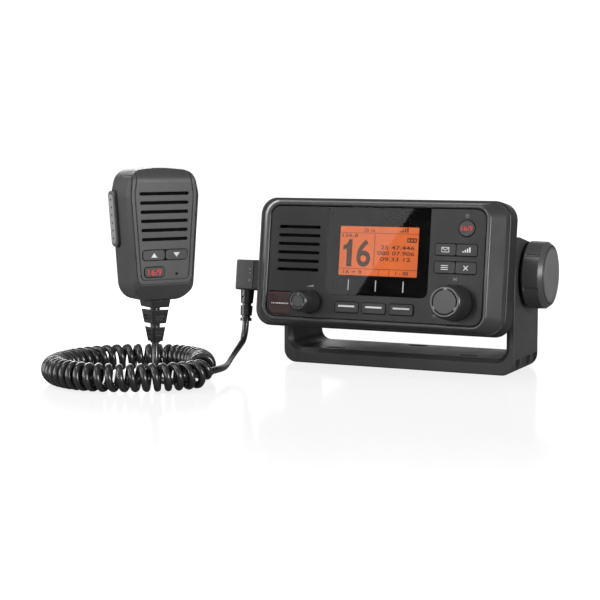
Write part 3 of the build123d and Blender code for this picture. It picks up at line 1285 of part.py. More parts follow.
# two fine grooves, along the rim's outside and inside; they run up over the rolled top
with BuildPart() as mic_grooves:
    for inset in (MIC_RIM_IN, MIC_RIM_IN + MIC_RIM_WIDTH):
        foot = MIC_RIM_FOOT + inset - MIC_RIM_IN
        crown = MIC_HEIGHT + MIC_TOP_FRONT_R
        with BuildSketch(facing(-MIC_JOINT - MIC_GROOVE)):
            make_face(mic_outline(inset, foot, crown))
            make_face(mic_outline(inset + MIC_GROOVE, foot + MIC_GROOVE, crown), mode=Mode.SUBTRACT)
        extrude(amount=MIC_FRONT)
    add(mic_form(MIC_GROOVE), mode=Mode.SUBTRACT)

with BuildPart() as mic_front_shell:
    add(mic_outside)
    split(bisect_by=facing(-MIC_JOINT), keep=Keep.TOP)
    add(mic_hollow, mode=Mode.SUBTRACT)
    add(mic_grooves.part, mode=Mode.SUBTRACT)
    # sound slits, key openings and the microphone's own hole
    with BuildSketch(facing(MIC_FACE_BACK)):
        for row in range(SLIT_COUNT):
            with Locations((0, MIC_HEIGHT - MIC_SLIT_DROP - row * MIC_SLIT_PITCH)):
                SlotOverall(MIC_SLIT_LENGTH - row * MIC_SLIT_SHRINK, SLIT_WIDTH)
        with Locations((0, MIC_KEY_Z)):
            RectangleRounded(
                2 * MIC_KEY_WIDTH + PAIR_SPLIT + 2 * KEY_GAP, MIC_KEY_HEIGHT + 2 * KEY_GAP, MIC_KEY_R + KEY_GAP
            )
        with Locations((MIC_CALL_X, MIC_CALL_Z)):
            RectangleRounded(MIC_CALL_WIDTH + 2 * KEY_GAP, MIC_KEY_HEIGHT + 2 * KEY_GAP, MIC_KEY_R + KEY_GAP)
        with Locations((MIC_HOLE_X, MIC_HOLE_Z)):
            Circle(MIC_HOLE_R)
    extrude(amount=MIC_WALL, mode=Mode.SUBTRACT)
    # posts for the case screws and the board
    with BuildSketch(facing(-MIC_JOINT)):
        with Locations(*mic_screw_spots):
            Circle(MIC_POST_R)
    extrude(amount=-MIC_JOINT - MIC_FACE_BACK + 0.2)
    with BuildSketch(facing(-MIC_JOINT)):
        with Locations(*mic_screw_spots):
            Circle(MIC_SCREW_R)
    extrude(amount=6.0, mode=Mode.SUBTRACT)
    with BuildSketch(Plane.XY.offset(-1)):
        Circle(MIC_BOOT_HOLE_R)
    extrude(amount=MIC_WALL + 3, mode=Mode.SUBTRACT)
save("mic_front_shell", mic_front_shell.part, MIC_PLACE)

with BuildPart() as mic_rear_shell:
    add(mic_outside)
    split(bisect_by=facing(-MIC_JOINT), keep=Keep.BOTTOM)
    add(mic_hollow, mode=Mode.SUBTRACT)
    # screw tubes, opening for the talk bar, hole for the hanging stud, cord entry
    with BuildSketch(facing(MIC_BACK - 1)):
        with Locations(*mic_screw_spots):
            Circle(MIC_POST_R + 0.2)
    extrude(amount=MIC_BACK - 1 + MIC_JOINT)
    with BuildSketch(facing(MIC_BACK)):
        with Locations(*mic_screw_spots):
            Circle(MIC_SCREW_R + 0.1)
    extrude(amount=MIC_BACK + MIC_JOINT, mode=Mode.SUBTRACT)
    with BuildSketch(facing(MIC_BACK)):
        with Locations(*mic_screw_spots):
            Circle(MIC_SCREW_R + 1.0)
    extrude(amount=3.0, mode=Mode.SUBTRACT)
    with BuildSketch(facing(MIC_BACK)):
        with Locations((0, MIC_STUD_Z)):
            Circle(STUD_NECK_R)
    extrude(amount=MIC_WALL + 0.1, mode=Mode.SUBTRACT)
    with BuildSketch(on_mic_side(-1)):
        with Locations((PTT_Y, MIC_SHOULDER_DROP - PTT_DROP)):
            RectangleRounded(PTT_WIDTH + 2 * PTT_GAP, PTT_HEIGHT + 2 * KEY_GAP, PTT_R + KEY_GAP)
    extrude(amount=MIC_WALL + PTT_REACH, mode=Mode.SUBTRACT)
    with BuildSketch(Plane.XY.offset(-1)):
        Circle(MIC_BOOT_HOLE_R)
    extrude(amount=MIC_WALL + 3, mode=Mode.SUBTRACT)
save("mic_rear_shell", mic_rear_shell.part, MIC_PLACE)

mic_step = (MIC_KEY_WIDTH + PAIR_SPLIT) / 2
for name, x, z, width, flange_left, flange_right in (
    ("mic_key_up", -mic_step, MIC_KEY_Z, MIC_KEY_WIDTH, KEY_FLANGE, 0),
    ("mic_key_down", mic_step, MIC_KEY_Z, MIC_KEY_WIDTH, 0, KEY_FLANGE),
    ("mic_key_16", MIC_CALL_X, MIC_CALL_Z, MIC_CALL_WIDTH, 0, KEY_FLANGE),
):
    mic_key = push_key(
        x, z, width, MIC_KEY_HEIGHT, flange_left, flange_right, 0.3, MIC_KEY_R,
        MIC_FACE - 0.5, MIC_FACE_BACK + 0.1, MIC_STEM_TIP,
    )
    save(name, mic_key, MIC_PLACE)

with BuildPart() as ptt_button:
    ptt_along = MIC_SHOULDER_DROP - PTT_DROP
    ptt_in = MIC_WALL + 2.0
    with BuildSketch(on_mic_side(-PTT_PROUD)):
        with Locations((PTT_Y, ptt_along)):
            RectangleRounded(PTT_WIDTH, PTT_HEIGHT, PTT_R)
    extrude(amount=PTT_PROUD + ptt_in)
    fillet(ptt_button.faces().sort_by(Axis.X)[0].edges(), radius=PTT_PROUD / 2)
    with BuildSketch(on_mic_side(ptt_in)):
        with Locations((PTT_Y, ptt_along)):
            Rectangle(PTT_WIDTH - 4.4, PTT_HEIGHT + 3)
    extrude(amount=1.4)
save("ptt_button", ptt_button.part, MIC_PLACE)

with BuildPart() as mic_board:
    with BuildSketch(facing(MIC_BOARD_FRONT + BOARD_THICK)):
        with Locations((0, (MIC_SCREW_LOW + MIC_SCREW_HIGH) / 2)):
            Rectangle(2 * MIC_SCREW_X + 6, MIC_SCREW_HIGH - MIC_SCREW_LOW - 6.2)
    extrude(amount=BOARD_THICK)
save("mic_board", mic_board.part, MIC_PLACE)

with BuildPart() as mic_speaker:
    with BuildSketch(facing(MIC_BOARD_FRONT)):
        with Locations((0, MIC_SPEAKER_Z)):
            Circle(MIC_SPEAKER_R)
    extrude(amount=MIC_BOARD_FRONT - MIC_FACE_BACK - 0.05)
    with BuildSketch(facing(MIC_FACE_BACK + 0.05)):
        with Locations((0, MIC_SPEAKER_Z)):
            Circle(MIC_SPEAKER_R - MIC_SPEAKER_EDGE)
            Circle(MIC_SPEAKER_R - 7, mode=Mode.SUBTRACT)
    extrude(amount=-0.6, mode=Mode.SUBTRACT)
save("mic_speaker", mic_speaker.part, MIC_PLACE)

with BuildPart() as mic_capsule:
    with BuildSketch(facing(MIC_BOARD_FRONT)):
        with Locations((MIC_HOLE_X, MIC_HOLE_Z)):
            Circle(MIC_CAPSULE_R)
    extrude(amount=MIC_BOARD_FRONT - MIC_FACE_BACK - 0.05)
save("mic_capsule", mic_capsule.part, MIC_PLACE)

with BuildPart() as mic_screws:
    with BuildSketch(facing(MIC_BACK - 3.0)):
        with Locations(*mic_screw_spots):
            Circle(MIC_SCREW_R - 0.02)
    extrude(amount=MIC_BACK - 3.0 + MIC_JOINT + 5.5)
    with BuildSketch(facing(MIC_BACK - 3.0)):
        with Locations(*mic_screw_spots):
            Circle(MIC_SCREW_R + 0.9)
    extrude(amount=-1.5)
save("mic_screws", mic_screws.part, MIC_PLACE)

with BuildPart() as hang_stud:
    with BuildSketch(facing(MIC_BACK - MIC_WALL)):
        with Locations((0, MIC_STUD_Z)):
            Circle(STUD_NECK_R - 0.02)
    extrude(amount=-MIC_WALL - STUD_REACH)
    with BuildSketch(facing(MIC_BACK)):
        with Locations((0, MIC_STUD_Z)):
            Circle(STUD_NECK_R + 2)
    extrude(amount=-1.5)
    with BuildSketch(facing(MIC_BACK + STUD_REACH - 2.5)):
        with Locations((0, MIC_STUD_Z)):
            Circle(STUD_HEAD_R)
    extrude(amount=-2.5)
    chamfer(hang_stud.faces().sort_by(Axis.Y)[-1].edges(), length=0.8)
save("hang_stud", hang_stud.part, MIC_PLACE)

def boot_width(depth):
    """The microphone boot's width at a depth below the case."""
    return MIC_BOOT_WIDTH - MIC_BOOT_TAPER * depth


with BuildPart() as mic_boot:
    with BuildSketch(Plane.XY.offset(-MIC_BOOT_END)):
        Circle(BOOT_CORE_R)
    extrude(amount=MIC_BOOT_END + MIC_WALL + 2.4)
    # a collar inside the case and the neck through its wall
    with BuildSketch(Plane.XY.offset(MIC_WALL + 0.2)):
        Circle(MIC_BOOT_HOLE_R + 1.9)
    extrude(amount=2.2)
    with BuildSketch(Plane.XY):
        Circle(MIC_BOOT_HOLE_R - 0.1)
    extrude(amount=MIC_WALL + 0.2)
    # three tapering blocks
    for top, bottom in ((0, 4.4), (5.8, 14.4), (16.6, MIC_BOOT_END - 0.9)):
        with BuildSketch(Plane.XY.offset(-top)):
            RectangleRounded(boot_width(top), boot_width(top) * BOOT_DEEPER, 1.2)
        with BuildSketch(Plane.XY.offset(-bottom)):
            RectangleRounded(boot_width(bottom), boot_width(bottom) * BOOT_DEEPER, 1.2)
        loft()
    # bending slits in pairs, cut into each face
    for depth in (10.2, 12.0, 19.8, 21.8):
        width = boot_width(depth)
        with BuildSketch(Plane.XY.offset(-depth)):
            Rectangle(0.62 * width, 2 * width)
            Rectangle(2 * width, 0.62 * width * BOOT_DEEPER)
            Rectangle(
                width - 2 * BOOT_SLIT_DEPTH, width * BOOT_DEEPER - 2 * BOOT_SLIT_DEPTH, mode=Mode.SUBTRACT
            )
        extrude(amount=BOOT_SLIT, mode=Mode.SUBTRACT)
save("mic_boot", mic_boot.part, MIC_PLACE)


# ---------------------------------------------------------------- cords
def arc_radii(points):
    """For each corner, the largest arc that leaves a tenth of the shorter run straight."""
    radii = []
    for before, corner, after in zip(points, points[1:], points[2:]):
        first = Vector(*corner) - Vector(*before)
        second = Vector(*after) - Vector(*corner)
        half_turn = radians(first.get_angle(second)) / 2
        radii.append(0.45 * min(first.length, second.length) / tan(half_turn))
    return radii


def cord(name, points, radius):
    """A tube of straight runs joined by tangent arcs."""
    radii = arc_radii(points)
    start = Vector(*points[0])
    way = Vector(*points[1]) - start
    with BuildPart() as tube:
        with BuildLine():
            path = FilletPolyline(*points, radius=radii)
        with BuildSketch(Plane(origin=start, z_dir=way)):
            Circle(radius)
        sweep()
    length = path.length
    print(f"{name}: length {length:.1f}, smallest radius {min(radii):.1f}, radii", [round(r, 1) for r in radii])
    print(f"  volume {tube.part.volume:.1f}, section times length {3.14159265 * radius ** 2 * length:.1f}")
    save(name, tube.part, ROW_PLACE)


def in_row(place, x, y, z):
    """A point of a placed piece, in the row's frame."""
    spot = (place * Location((x, y, z))).position
    return (spot.X, spot.Y, spot.Z)


# the coil lies on the table as an open ring: two middle rows of points, back then front
COIL_ROUTE = (
    (-86.5, -129.0, COIL_R),
    (-93.5, -112.5, COIL_R),
    (-107.5, -99.0, COIL_R),
    (-129.0, -93.0, COIL_R),
    (-151.5, -101.0, COIL_R),
    (-167.5, -118.5, COIL_R),
    (-174.0, -142.0, COIL_R),
    (-170.0, -166.0, COIL_R),
    (-153.0, -184.5, COIL_R),
    (-129.0, -190.0, COIL_R),
    (-105.0, -182.5, COIL_R),
    (-84.0, -167.5, COIL_R),
    (-71.5, -152.0, COIL_R),
    (-69.5, -138.0, COIL_R),
)
cord("curly_cord", COIL_ROUTE, COIL_R)



def beyond(end, before, reach):
    """A point past the end of a cord, in line with its last run."""
    way = (Vector(*end) - Vector(*before)).normalized()
    spot = Vector(*end) + way * reach
    return (spot.X, spot.Y, spot.Z)


# from the microphone's boot down into the ring and along to the coil's back end
MIC_TAIL = (
    (MIC_X, MIC_Y, MIC_LIFT - MIC_BOOT_END),
    (MIC_X, MIC_Y, 13.8),
    (-108.5, -147.5, 5.2),
    (-98.0, -154.0, 2.8),
    (-86.0, -152.5, 4.4),
    beyond(COIL_ROUTE[0], COIL_ROUTE[1], 12),
    COIL_ROUTE[0],
)
cord("mic_cord", MIC_TAIL, CORD_R)

# from the coil's front end along the table and up into the plug's boot
PLUG_EXIT = in_row(RADIO_PLACE, PLUG_X, PLUG_Y, PLUG_Z - PLUG_HEIGHT / 2 - BOOT_LENGTH)
PLUG_EXIT_LOW = in_row(RADIO_PLACE, PLUG_X, PLUG_Y, PLUG_Z - PLUG_HEIGHT / 2 - BOOT_LENGTH - 11.0)
PLUG_TAIL = (
    COIL_ROUTE[-1],
    beyond(COIL_ROUTE[-1], COIL_ROUTE[-2], 10.0),
    (-79.5, -111.5, 3.4),
    (-89.0, -98.0, 2.6),
    (-96.2, -83.0, 3.4),
    (-98.2, -67.5, 8.5),
    PLUG_EXIT_LOW,
    PLUG_EXIT,
)
cord("plug_cord", PLUG_TAIL, CORD_R)
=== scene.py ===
import json
from math import cos, pi, radians, sin

import bmesh
import bpy
from mathutils import Matrix, Vector


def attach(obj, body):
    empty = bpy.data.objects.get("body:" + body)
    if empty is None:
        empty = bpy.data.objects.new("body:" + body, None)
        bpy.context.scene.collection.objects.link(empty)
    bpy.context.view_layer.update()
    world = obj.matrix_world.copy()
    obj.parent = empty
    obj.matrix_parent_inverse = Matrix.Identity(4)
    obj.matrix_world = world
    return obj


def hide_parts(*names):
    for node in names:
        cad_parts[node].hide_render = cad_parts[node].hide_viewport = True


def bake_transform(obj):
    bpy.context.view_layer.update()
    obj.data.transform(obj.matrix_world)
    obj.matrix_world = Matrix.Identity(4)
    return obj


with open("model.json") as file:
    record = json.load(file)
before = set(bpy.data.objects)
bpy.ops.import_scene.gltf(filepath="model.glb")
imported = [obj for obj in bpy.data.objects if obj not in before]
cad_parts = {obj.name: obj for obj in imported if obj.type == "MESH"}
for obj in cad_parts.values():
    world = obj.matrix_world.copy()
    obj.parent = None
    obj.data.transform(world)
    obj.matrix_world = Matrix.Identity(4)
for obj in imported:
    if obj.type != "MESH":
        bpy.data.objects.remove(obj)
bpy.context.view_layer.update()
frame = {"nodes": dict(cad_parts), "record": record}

scene = bpy.context.scene
nodes = frame["nodes"]

MM = 0.001

# The radio and the hand microphone each have a frame of their own, in which their marks are drawn
# in millimetres: x to the right, z up, the front towards -y.
TILT_AXIS_HEIGHT = 0.0625
RADIO_LEAN = radians(-7.6)
RADIO = Matrix.Translation((0, 0, TILT_AXIS_HEIGHT)) @ Matrix.Rotation(RADIO_LEAN, 4, "X")
HANDSET_FOOT = (-0.1123, -0.140, 0.051)
HANDSET_TURN = radians(58)
HANDSET = Matrix.Translation(HANDSET_FOOT) @ Matrix.Rotation(HANDSET_TURN, 4, "Z")


def span_of(name, place=RADIO):
    """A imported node's lowest and highest corners in its body's frame, to a hundredth of a millimetre."""
    back = place.inverted()
    points = [back @ vertex.co / MM for vertex in nodes[name].data.vertices]
    low = [round(min(values), 2) for values in zip(*points)]
    high = [round(max(values), 2) for values in zip(*points)]
    return low, high


def centre_of(name, place=RADIO):
    """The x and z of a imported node's middle, in steps of 0.05 mm because round ones have facets."""
    low, high = span_of(name, place)
    return [round((low[axis] + high[axis]) / 2 * 20) / 20 for axis in (0, 2)]


def front_of(name, place=RADIO):
    """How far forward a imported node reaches: its lowest y."""
    return span_of(name, place)[0][1]


# ---------------------------------------------------------------- camera, floor and light
CAMERA_PLACE = (0.35937, -0.92549, 0.14331)
CAMERA_DROP = 5.81  # degrees below level
CAMERA_TURN = 25.43  # degrees round from the front
CAMERA_LENS = 90
CAMERA_SENSOR = 36

SOFTBOXES = (  # name, place, what it points at, width, height, power
    ("left_light", (-1.75, -1.25, 0.5), (0, 0, 0.05), 1.5, 1.5, 32),
    ("right_light", (1.6, -0.72, 0.4), (0, 0, 0.06), 0.6, 0.6, 24),
    ("front_strip", (-0.34, -1.5, 0.3), (0, 0, 0.06), 0.16, 0.6, 3.2),
    ("strip_light", (-0.35, -0.5, 1.2), (-0.08, -0.08, 0.02), 0.9, 0.1, 3.0),
    ("back_light", (-1.3, 1.2, 0.5), (0, 0, 0.05), 0.9, 0.9, 9),
)


def take_view():
    camera = bpy.data.cameras.new("view")
    camera.lens = CAMERA_LENS
    camera.sensor_width = CAMERA_SENSOR
    camera.clip_end = 20
    stand = bpy.data.objects.new("view", camera)
    stand.location = CAMERA_PLACE
    stand.rotation_euler = (radians(90 - CAMERA_DROP), 0, radians(CAMERA_TURN))
    scene.collection.objects.link(stand)
    scene.camera = stand


def softbox(name, place, target, width, height, power):
    lamp = bpy.data.lights.new(name, "AREA")
    lamp.shape = "RECTANGLE"
    lamp.size = width
    lamp.size_y = height
    lamp.energy = power
    stand = bpy.data.objects.new(name, lamp)
    stand.location = place
    aim = Vector(target) - Vector(place)
    stand.rotation_euler = aim.to_track_quat("-Z", "Y").to_euler()
    scene.collection.objects.link(stand)


# ---------------------------------------------------------------- shader building
def add(tree, kind, inputs=None, **settings):
    """One shader node, with its settings and with values or links on its inputs."""
    made = tree.nodes.new(kind)
    for name, value in settings.items():
        setattr(made, name, value)
    for name, value in (inputs or {}).items():
        if isinstance(value, bpy.types.NodeSocket):
            tree.links.new(value, made.inputs[name])
        else:
            made.inputs[name].default_value = value
    return made


def math(tree, operation, first, second, clamp=False):
    made = add(tree, "ShaderNodeMath", {0: first, 1: second}, operation=operation, use_clamp=clamp)
    return made.outputs[0]


def ramp(tree, value, low, high, to_low=0.0, to_high=1.0):
    """Low to high brought to to_low to to_high, and held beyond them."""
    return add(tree, "ShaderNodeMapRange", {0: value, 1: low, 2: high, 3: to_low, 4: to_high}).outputs[0]


def group(name, inputs, outputs):
    """An empty node group with these sockets, and the sockets as they are seen from inside."""
    tree = bpy.data.node_groups.new(name, "ShaderNodeTree")
    for label, value in inputs:
        tree.interface.new_socket(label, in_out="INPUT", socket_type="NodeSocketFloat").default_value = value
    for label, kind in outputs:
        tree.interface.new_socket(label, in_out="OUTPUT", socket_type=kind)
    return tree, tree.nodes.new("NodeGroupInput").outputs, tree.nodes.new("NodeGroupOutput")


def moulding_grain():
    """Fine spark-eroded grain with a slow unevenness under it."""
    tree, given, out = group(
        "moulding_grain",
        [("Scale", 1400.0), ("Unevenness", 40.0)],
        [("Height", "NodeSocketFloat"), ("Tone", "NodeSocketFloat")],
    )
    where = add(tree, "ShaderNodeTexCoord").outputs["Object"]
    cells = add(tree, "ShaderNodeTexVoronoi", {"Vector": where, "Scale": given["Scale"]}, feature="SMOOTH_F1")
    dust = add(tree, "ShaderNodeTexNoise", {"Vector": where, "Scale": given["Scale"], "Detail": 3.0})
    slow = add(tree, "ShaderNodeTexNoise", {"Vector": where, "Scale": given["Unevenness"], "Detail": 2.0})
    height = math(tree, "ADD", cells.outputs["Distance"], dust.outputs["Fac"])
    tree.links.new(height, out.inputs["Height"])
    tree.links.new(ramp(tree, slow.outputs["Fac"], 0.3, 0.7), out.inputs["Tone"])
    return tree


# EDGE_CONTRAST: how sharply the painted edge highlight rises at an edge
EDGE_CONTRAST = 7.0
HAND_POLISH = 0.06  # how much roughness a smudge takes away
COAT_ROUGHNESS = 0.2


def edge_highlight_and_wear():
    """Painted highlight on the outer edges, which also stands for the polish that hands and boxes give them,
    broken up along their length.
    """
    tree, given, out = group(
        "edge_highlight_and_wear",
        [("Radius", 0.0006), ("Spread", 0.3)],
        [("Mask", "NodeSocketFloat"), ("Normal", "NodeSocketVector")],
    )
    rounded = add(tree, "ShaderNodeBevel", {"Radius": given["Radius"]}, samples=6).outputs[0]
    flat = add(tree, "ShaderNodeNewGeometry").outputs["Normal"]
    lean = add(tree, "ShaderNodeVectorMath", {0: rounded, 1: flat}, operation="DOT_PRODUCT").outputs["Value"]
    edge = math(tree, "SUBTRACT", 1.0, lean, clamp=True)
    line = math(tree, "MULTIPLY", edge, EDGE_CONTRAST, clamp=True)
    where = add(tree, "ShaderNodeTexCoord").outputs["Object"]
    patchy = add(tree, "ShaderNodeTexNoise", {"Vector": where, "Scale": 260.0, "Detail": 4.0}).outputs["Fac"]
    # painted highlight on the edges, patchy; it also stands for polish from hands and boxes
    patchy_highlight_and_wear = math(tree, "MULTIPLY", line, ramp(tree, patchy, given["Spread"], 0.75))
    tree.links.new(patchy_highlight_and_wear, out.inputs["Mask"])
    tree.links.new(rounded, out.inputs["Normal"])
    return tree


def brushed_lines():
    """Fine parallel machining lines along X."""
    tree, given, out = group(
        "brushed_lines",
        [("Scale", 900.0)],
        [("Height", "NodeSocketFloat"), ("Tone", "NodeSocketFloat")],
    )
    where = add(tree, "ShaderNodeTexCoord").outputs["Object"]
    stretched = add(tree, "ShaderNodeMapping", {"Vector": where, "Scale": (0.04, 1.0, 1.0)}).outputs[0]
    lines = add(tree, "ShaderNodeTexNoise", {"Vector": stretched, "Scale": given["Scale"], "Detail": 3.0})
    tree.links.new(lines.outputs["Fac"], out.inputs["Height"])
    tree.links.new(ramp(tree, lines.outputs["Fac"], 0.35, 0.65), out.inputs["Tone"])
    return tree


def handled():
    """Slow smudges where fingers leave the surface smoother."""
    tree, given, out = group("handled", [("Scale", 60.0)], [("Mask", "NodeSocketFloat")])
    where = add(tree, "ShaderNodeTexCoord").outputs["Object"]
    smear = add(
        tree, "ShaderNodeTexNoise",
        {"Vector": where, "Scale": given["Scale"], "Detail": 5.0, "Distortion": 0.6},
    )
    tree.links.new(ramp(tree, smear.outputs["Fac"], 0.42, 0.68), out.inputs["Mask"])
    return tree


GROUPS = {make.__name__: make() for make in (moulding_grain, edge_highlight_and_wear, brushed_lines, handled)}


def use(tree, name, **values):
    """One of the groups placed in a material, with this material's own values."""
    made = tree.nodes.new("ShaderNodeGroup")
    made.node_tree = GROUPS[name]
    for label, value in values.items():
        made.inputs[label].default_value = value
    return made.outputs


def srgb(red, green, blue):
    """A colour written as it looks on a screen, 0 to 255, as the shader's linear values."""
    shares = [level / 255 for level in (red, green, blue)]
    return (*[s / 12.92 if s <= 0.04 else ((s + 0.055) / 1.055) ** 2.4 for s in shares], 1.0)


def grey(level):
    """The cool grey of the mouldings."""
    return srgb(level, level, level + 1)


def shade(colour, factor):
    return (*[c * factor for c in colour[:3]], 1.0)


def mix(tree, factor, first, second):
    return add(tree, "ShaderNodeMix", {0: factor, 6: first, 7: second}, data_type="RGBA").outputs[2]


def finish_of(
    name, colour, rough, grain=1400.0, depth=0.02, highlight_and_wear=1.6, uneven=0.12,
    metal=0.0, brushed=False, specular=0.5, coat=0.0,
):
    """A moulded, cast, painted or plated finish.

    grain is the texture's scale and depth its height in millimetres. The edge factor is how much brighter
    an outer edge is painted than the rest, a painted highlight that also stands for polish from handling,
    and uneven how far the tone wanders.
    """
    material = bpy.data.materials.new(name)
    material.use_nodes = True
    tree = material.node_tree
    skin = tree.nodes["Principled BSDF"]
    texture = use(tree, "brushed_lines" if brushed else "moulding_grain", Scale=grain)
    edge = use(tree, "edge_highlight_and_wear")
    smear = use(tree, "handled")
    toned = mix(tree, texture["Tone"], shade(colour, 1 - uneven), shade(colour, 1 + uneven))
    # painted highlight: outer edges are lightened by the edge factor, which also stands for polish from
    # handling
    edges_highlighted_and_worn = mix(tree, edge["Mask"], toned, shade(colour, highlight_and_wear))
    tree.links.new(edges_highlighted_and_worn, skin.inputs["Base Color"])
    smooth = math(tree, "MULTIPLY", smear["Mask"], HAND_POLISH)
    tree.links.new(math(tree, "SUBTRACT", rough, smooth), skin.inputs["Roughness"])
    bump = add(
        tree, "ShaderNodeBump",
        {"Strength": 1.0, "Distance": depth * MM, "Height": texture["Height"], "Normal": edge["Normal"]},
    )
    tree.links.new(bump.outputs[0], skin.inputs["Normal"])
    skin.inputs["Metallic"].default_value = metal
    skin.inputs["Specular IOR Level"].default_value = specular
    if coat:
        skin.inputs["Coat Weight"].default_value = coat
        skin.inputs["Coat Roughness"].default_value = COAT_ROUGHNESS
    return material


FINISHES = {
    "housing_plastic": finish_of("charcoal_moulding", grey(42), 0.42, specular=0.45),
    "face_plastic": finish_of("satin_face", grey(35), 0.42, grain=1800.0, specular=0.35),
    "bracket_plastic": finish_of("bracket_moulding", grey(58), 0.42, grain=1100.0, depth=0.03, specular=0.4),
    "knob_rubber": finish_of("soft_touch_knob", grey(42), 0.34, grain=2200.0, depth=0.01, specular=0.45),
    "key_rubber": finish_of("key_rubber", grey(48), 0.45, grain=2000.0, depth=0.012, specular=0.4),
    "red_key": finish_of("round_key", srgb(42, 40, 40), 0.4, grain=2000.0, depth=0.01),
    "door_plastic": finish_of("smoked_door", srgb(60, 35, 35), 0.3, grain=2000.0, depth=0.01),
    "switch_mat": finish_of("silicone_mat", srgb(120, 120, 118), 0.6, grain=1500.0),
    "window": finish_of("window_border", grey(14), 0.1),
    "display": finish_of("lcd_carrier", srgb(170, 170, 165), 0.5),
    "circuit_board": finish_of("board_green", srgb(22, 84, 50), 0.35, grain=700.0, depth=0.01, uneven=0.25),
    "plated_steel": finish_of("plated_steel", srgb(180, 180, 178), 0.3, metal=1.0, brushed=True, highlight_and_wear=1.1),
    "cast_alloy": finish_of("powder_coat", grey(42), 0.5, grain=900.0, depth=0.05, specular=0.4),
    "speaker_cone": finish_of("cone_paper", srgb(26, 25, 24), 0.8, grain=500.0, depth=0.08, specular=0.2),
    "sealing_rubber": finish_of("seal_rubber", srgb(30, 30, 30), 0.7, grain=1200.0, specular=0.3),
    "nickel": finish_of(
        "nickel_plating", srgb(190, 184, 172), 0.22, grain=1500.0, highlight_and_wear=1.1, metal=1.0, brushed=True,
    ),
    "cord_rubber": finish_of(
        "cord_rubber", grey(33), 0.3, grain=1600.0, depth=0.008, highlight_and_wear=1.2, specular=0.6, coat=0.4,
    ),
    "grey_plastic": finish_of("grey_moulding", grey(40), 0.45, specular=0.4),
}
TRIM = finish_of("trim_moulding", grey(57), 0.33, depth=0.008, highlight_and_wear=1.25, specular=0.55)
HOUSING = finish_of("bezel_moulding", grey(37), 0.42, specular=0.35)
HANDSET_MOULDING = finish_of("handset_moulding", grey(69), 0.42, specular=0.4)
PLUG_MOULDING = finish_of("plug_moulding", grey(74), 0.4, specular=0.4)
# Painted highlight: a lighter copy of the knob finish, for the highlight along the clamp knobs' sides.
CLAMP_KNOB_PAINTED_HIGHLIGHT = finish_of("clamp_knob_painted_highlight", grey(74), 0.34, grain=2200.0, depth=0.012, specular=0.45)
# Painted shade: the cloth behind the slots is near black and matt so that the slots read dark.
GRILLE_CLOTH_PAINTED_SHADE = finish_of(
    "grille_cloth_painted_shade", srgb(12, 12, 12), 0.9, grain=2600.0, depth=0.03, highlight_and_wear=1.0, specular=0.1,
)
# Painted highlights: the knobs' light ring and bridges stand for the light their bevels catch.
KNOB_RING_PAINTED_HIGHLIGHT = finish_of("knob_ring_painted_highlight", grey(96), 0.3, grain=2200.0, depth=0.006, highlight_and_wear=1.1)
KNOB_BRIDGE_PAINTED_HIGHLIGHT = finish_of("knob_bridge_painted_highlight", grey(138), 0.35, grain=2200.0, depth=0.006, highlight_and_wear=1.1)
# Painted light: the clamp caps are lighter than their knobs, for the brightness of their lit faces.
CLAMP_CAP_PAINTED_LIGHT = finish_of("clamp_cap_painted_light", grey(104), 0.42, grain=1800.0, depth=0.02)
KNOB_DISC = finish_of("knob_disc", grey(62), 0.38, grain=2200.0, depth=0.008, highlight_and_wear=1.1)
TALK_DOT = finish_of("talk_dot", grey(40), 0.6, highlight_and_wear=1.0)
HANDSET_KEY = finish_of("handset_key", grey(58), 0.45, grain=2000.0, depth=0.012, specular=0.4)
TALK_BAR = finish_of("talk_bar_moulding", grey(84), 0.42, grain=1500.0)
TALK_CAP = finish_of("talk_cap", grey(150), 0.5, grain=1500.0, highlight_and_wear=1.1)
WHITE_INK = finish_of("white_ink", srgb(236, 236, 234), 0.5, grain=3000.0, depth=0.004, highlight_and_wear=1.0)
GREY_INK = finish_of("grey_ink", srgb(150, 150, 150), 0.5, grain=3000.0, depth=0.004, highlight_and_wear=1.0)
# Painted shade: a near-black film laid on the floor of the knobs' grooves.
GROOVE_PAINTED_SHADE = finish_of("groove_painted_shade", srgb(14, 14, 14), 0.7, highlight_and_wear=1.0)
WINDOW_BLACK = finish_of(
    "window_black", grey(9), 0.6, grain=3000.0, depth=0.002, highlight_and_wear=1.0, specular=0.04,
)


GLOW_DARK = 0.8  # how bright a lit surface still is where it is darkest


def glowing(name, colour, strength):
    """A lit surface: its colour comes from behind, a little uneven."""
    material = bpy.data.materials.new(name)
    material.use_nodes = True
    tree = material.node_tree
    skin = tree.nodes["Principled BSDF"]
    texture = use(tree, "moulding_grain", Scale=900.0, Unevenness=28.0)
    lit = mix(tree, texture["Tone"], shade(colour, GLOW_DARK), colour)
    tree.links.new(lit, skin.inputs["Base Color"])
    tree.links.new(lit, skin.inputs["Emission Color"])
    skin.inputs["Emission Strength"].default_value = strength
    skin.inputs["Roughness"].default_value = 0.5
    return material


def clear_glass():
    """The window's lens: clear, with faint wiping marks."""
    material = bpy.data.materials.new("window_glass")
    material.use_nodes = True
    tree = material.node_tree
    skin = tree.nodes["Principled BSDF"]
    smear = use(tree, "handled", Scale=90.0)
    tree.links.new(ramp(tree, smear["Mask"], 0.0, 1.0, 0.012, 0.03), skin.inputs["Roughness"])
    skin.inputs["Base Color"].default_value = (1, 1, 1, 1)
    skin.inputs["Transmission Weight"].default_value = 1.0
    skin.inputs["IOR"].default_value = 1.5
    return material


WINDOW_GLASS = clear_glass()
SCREEN_GLOW = glowing("screen_glow", srgb(196, 90, 24), 0.6)
SCREEN_INK = finish_of("screen_ink", srgb(66, 34, 12), 0.6, grain=3000.0, depth=0.002, highlight_and_wear=1.0)
RED_GLOW = glowing("red_legend", srgb(214, 34, 40), 0.35)


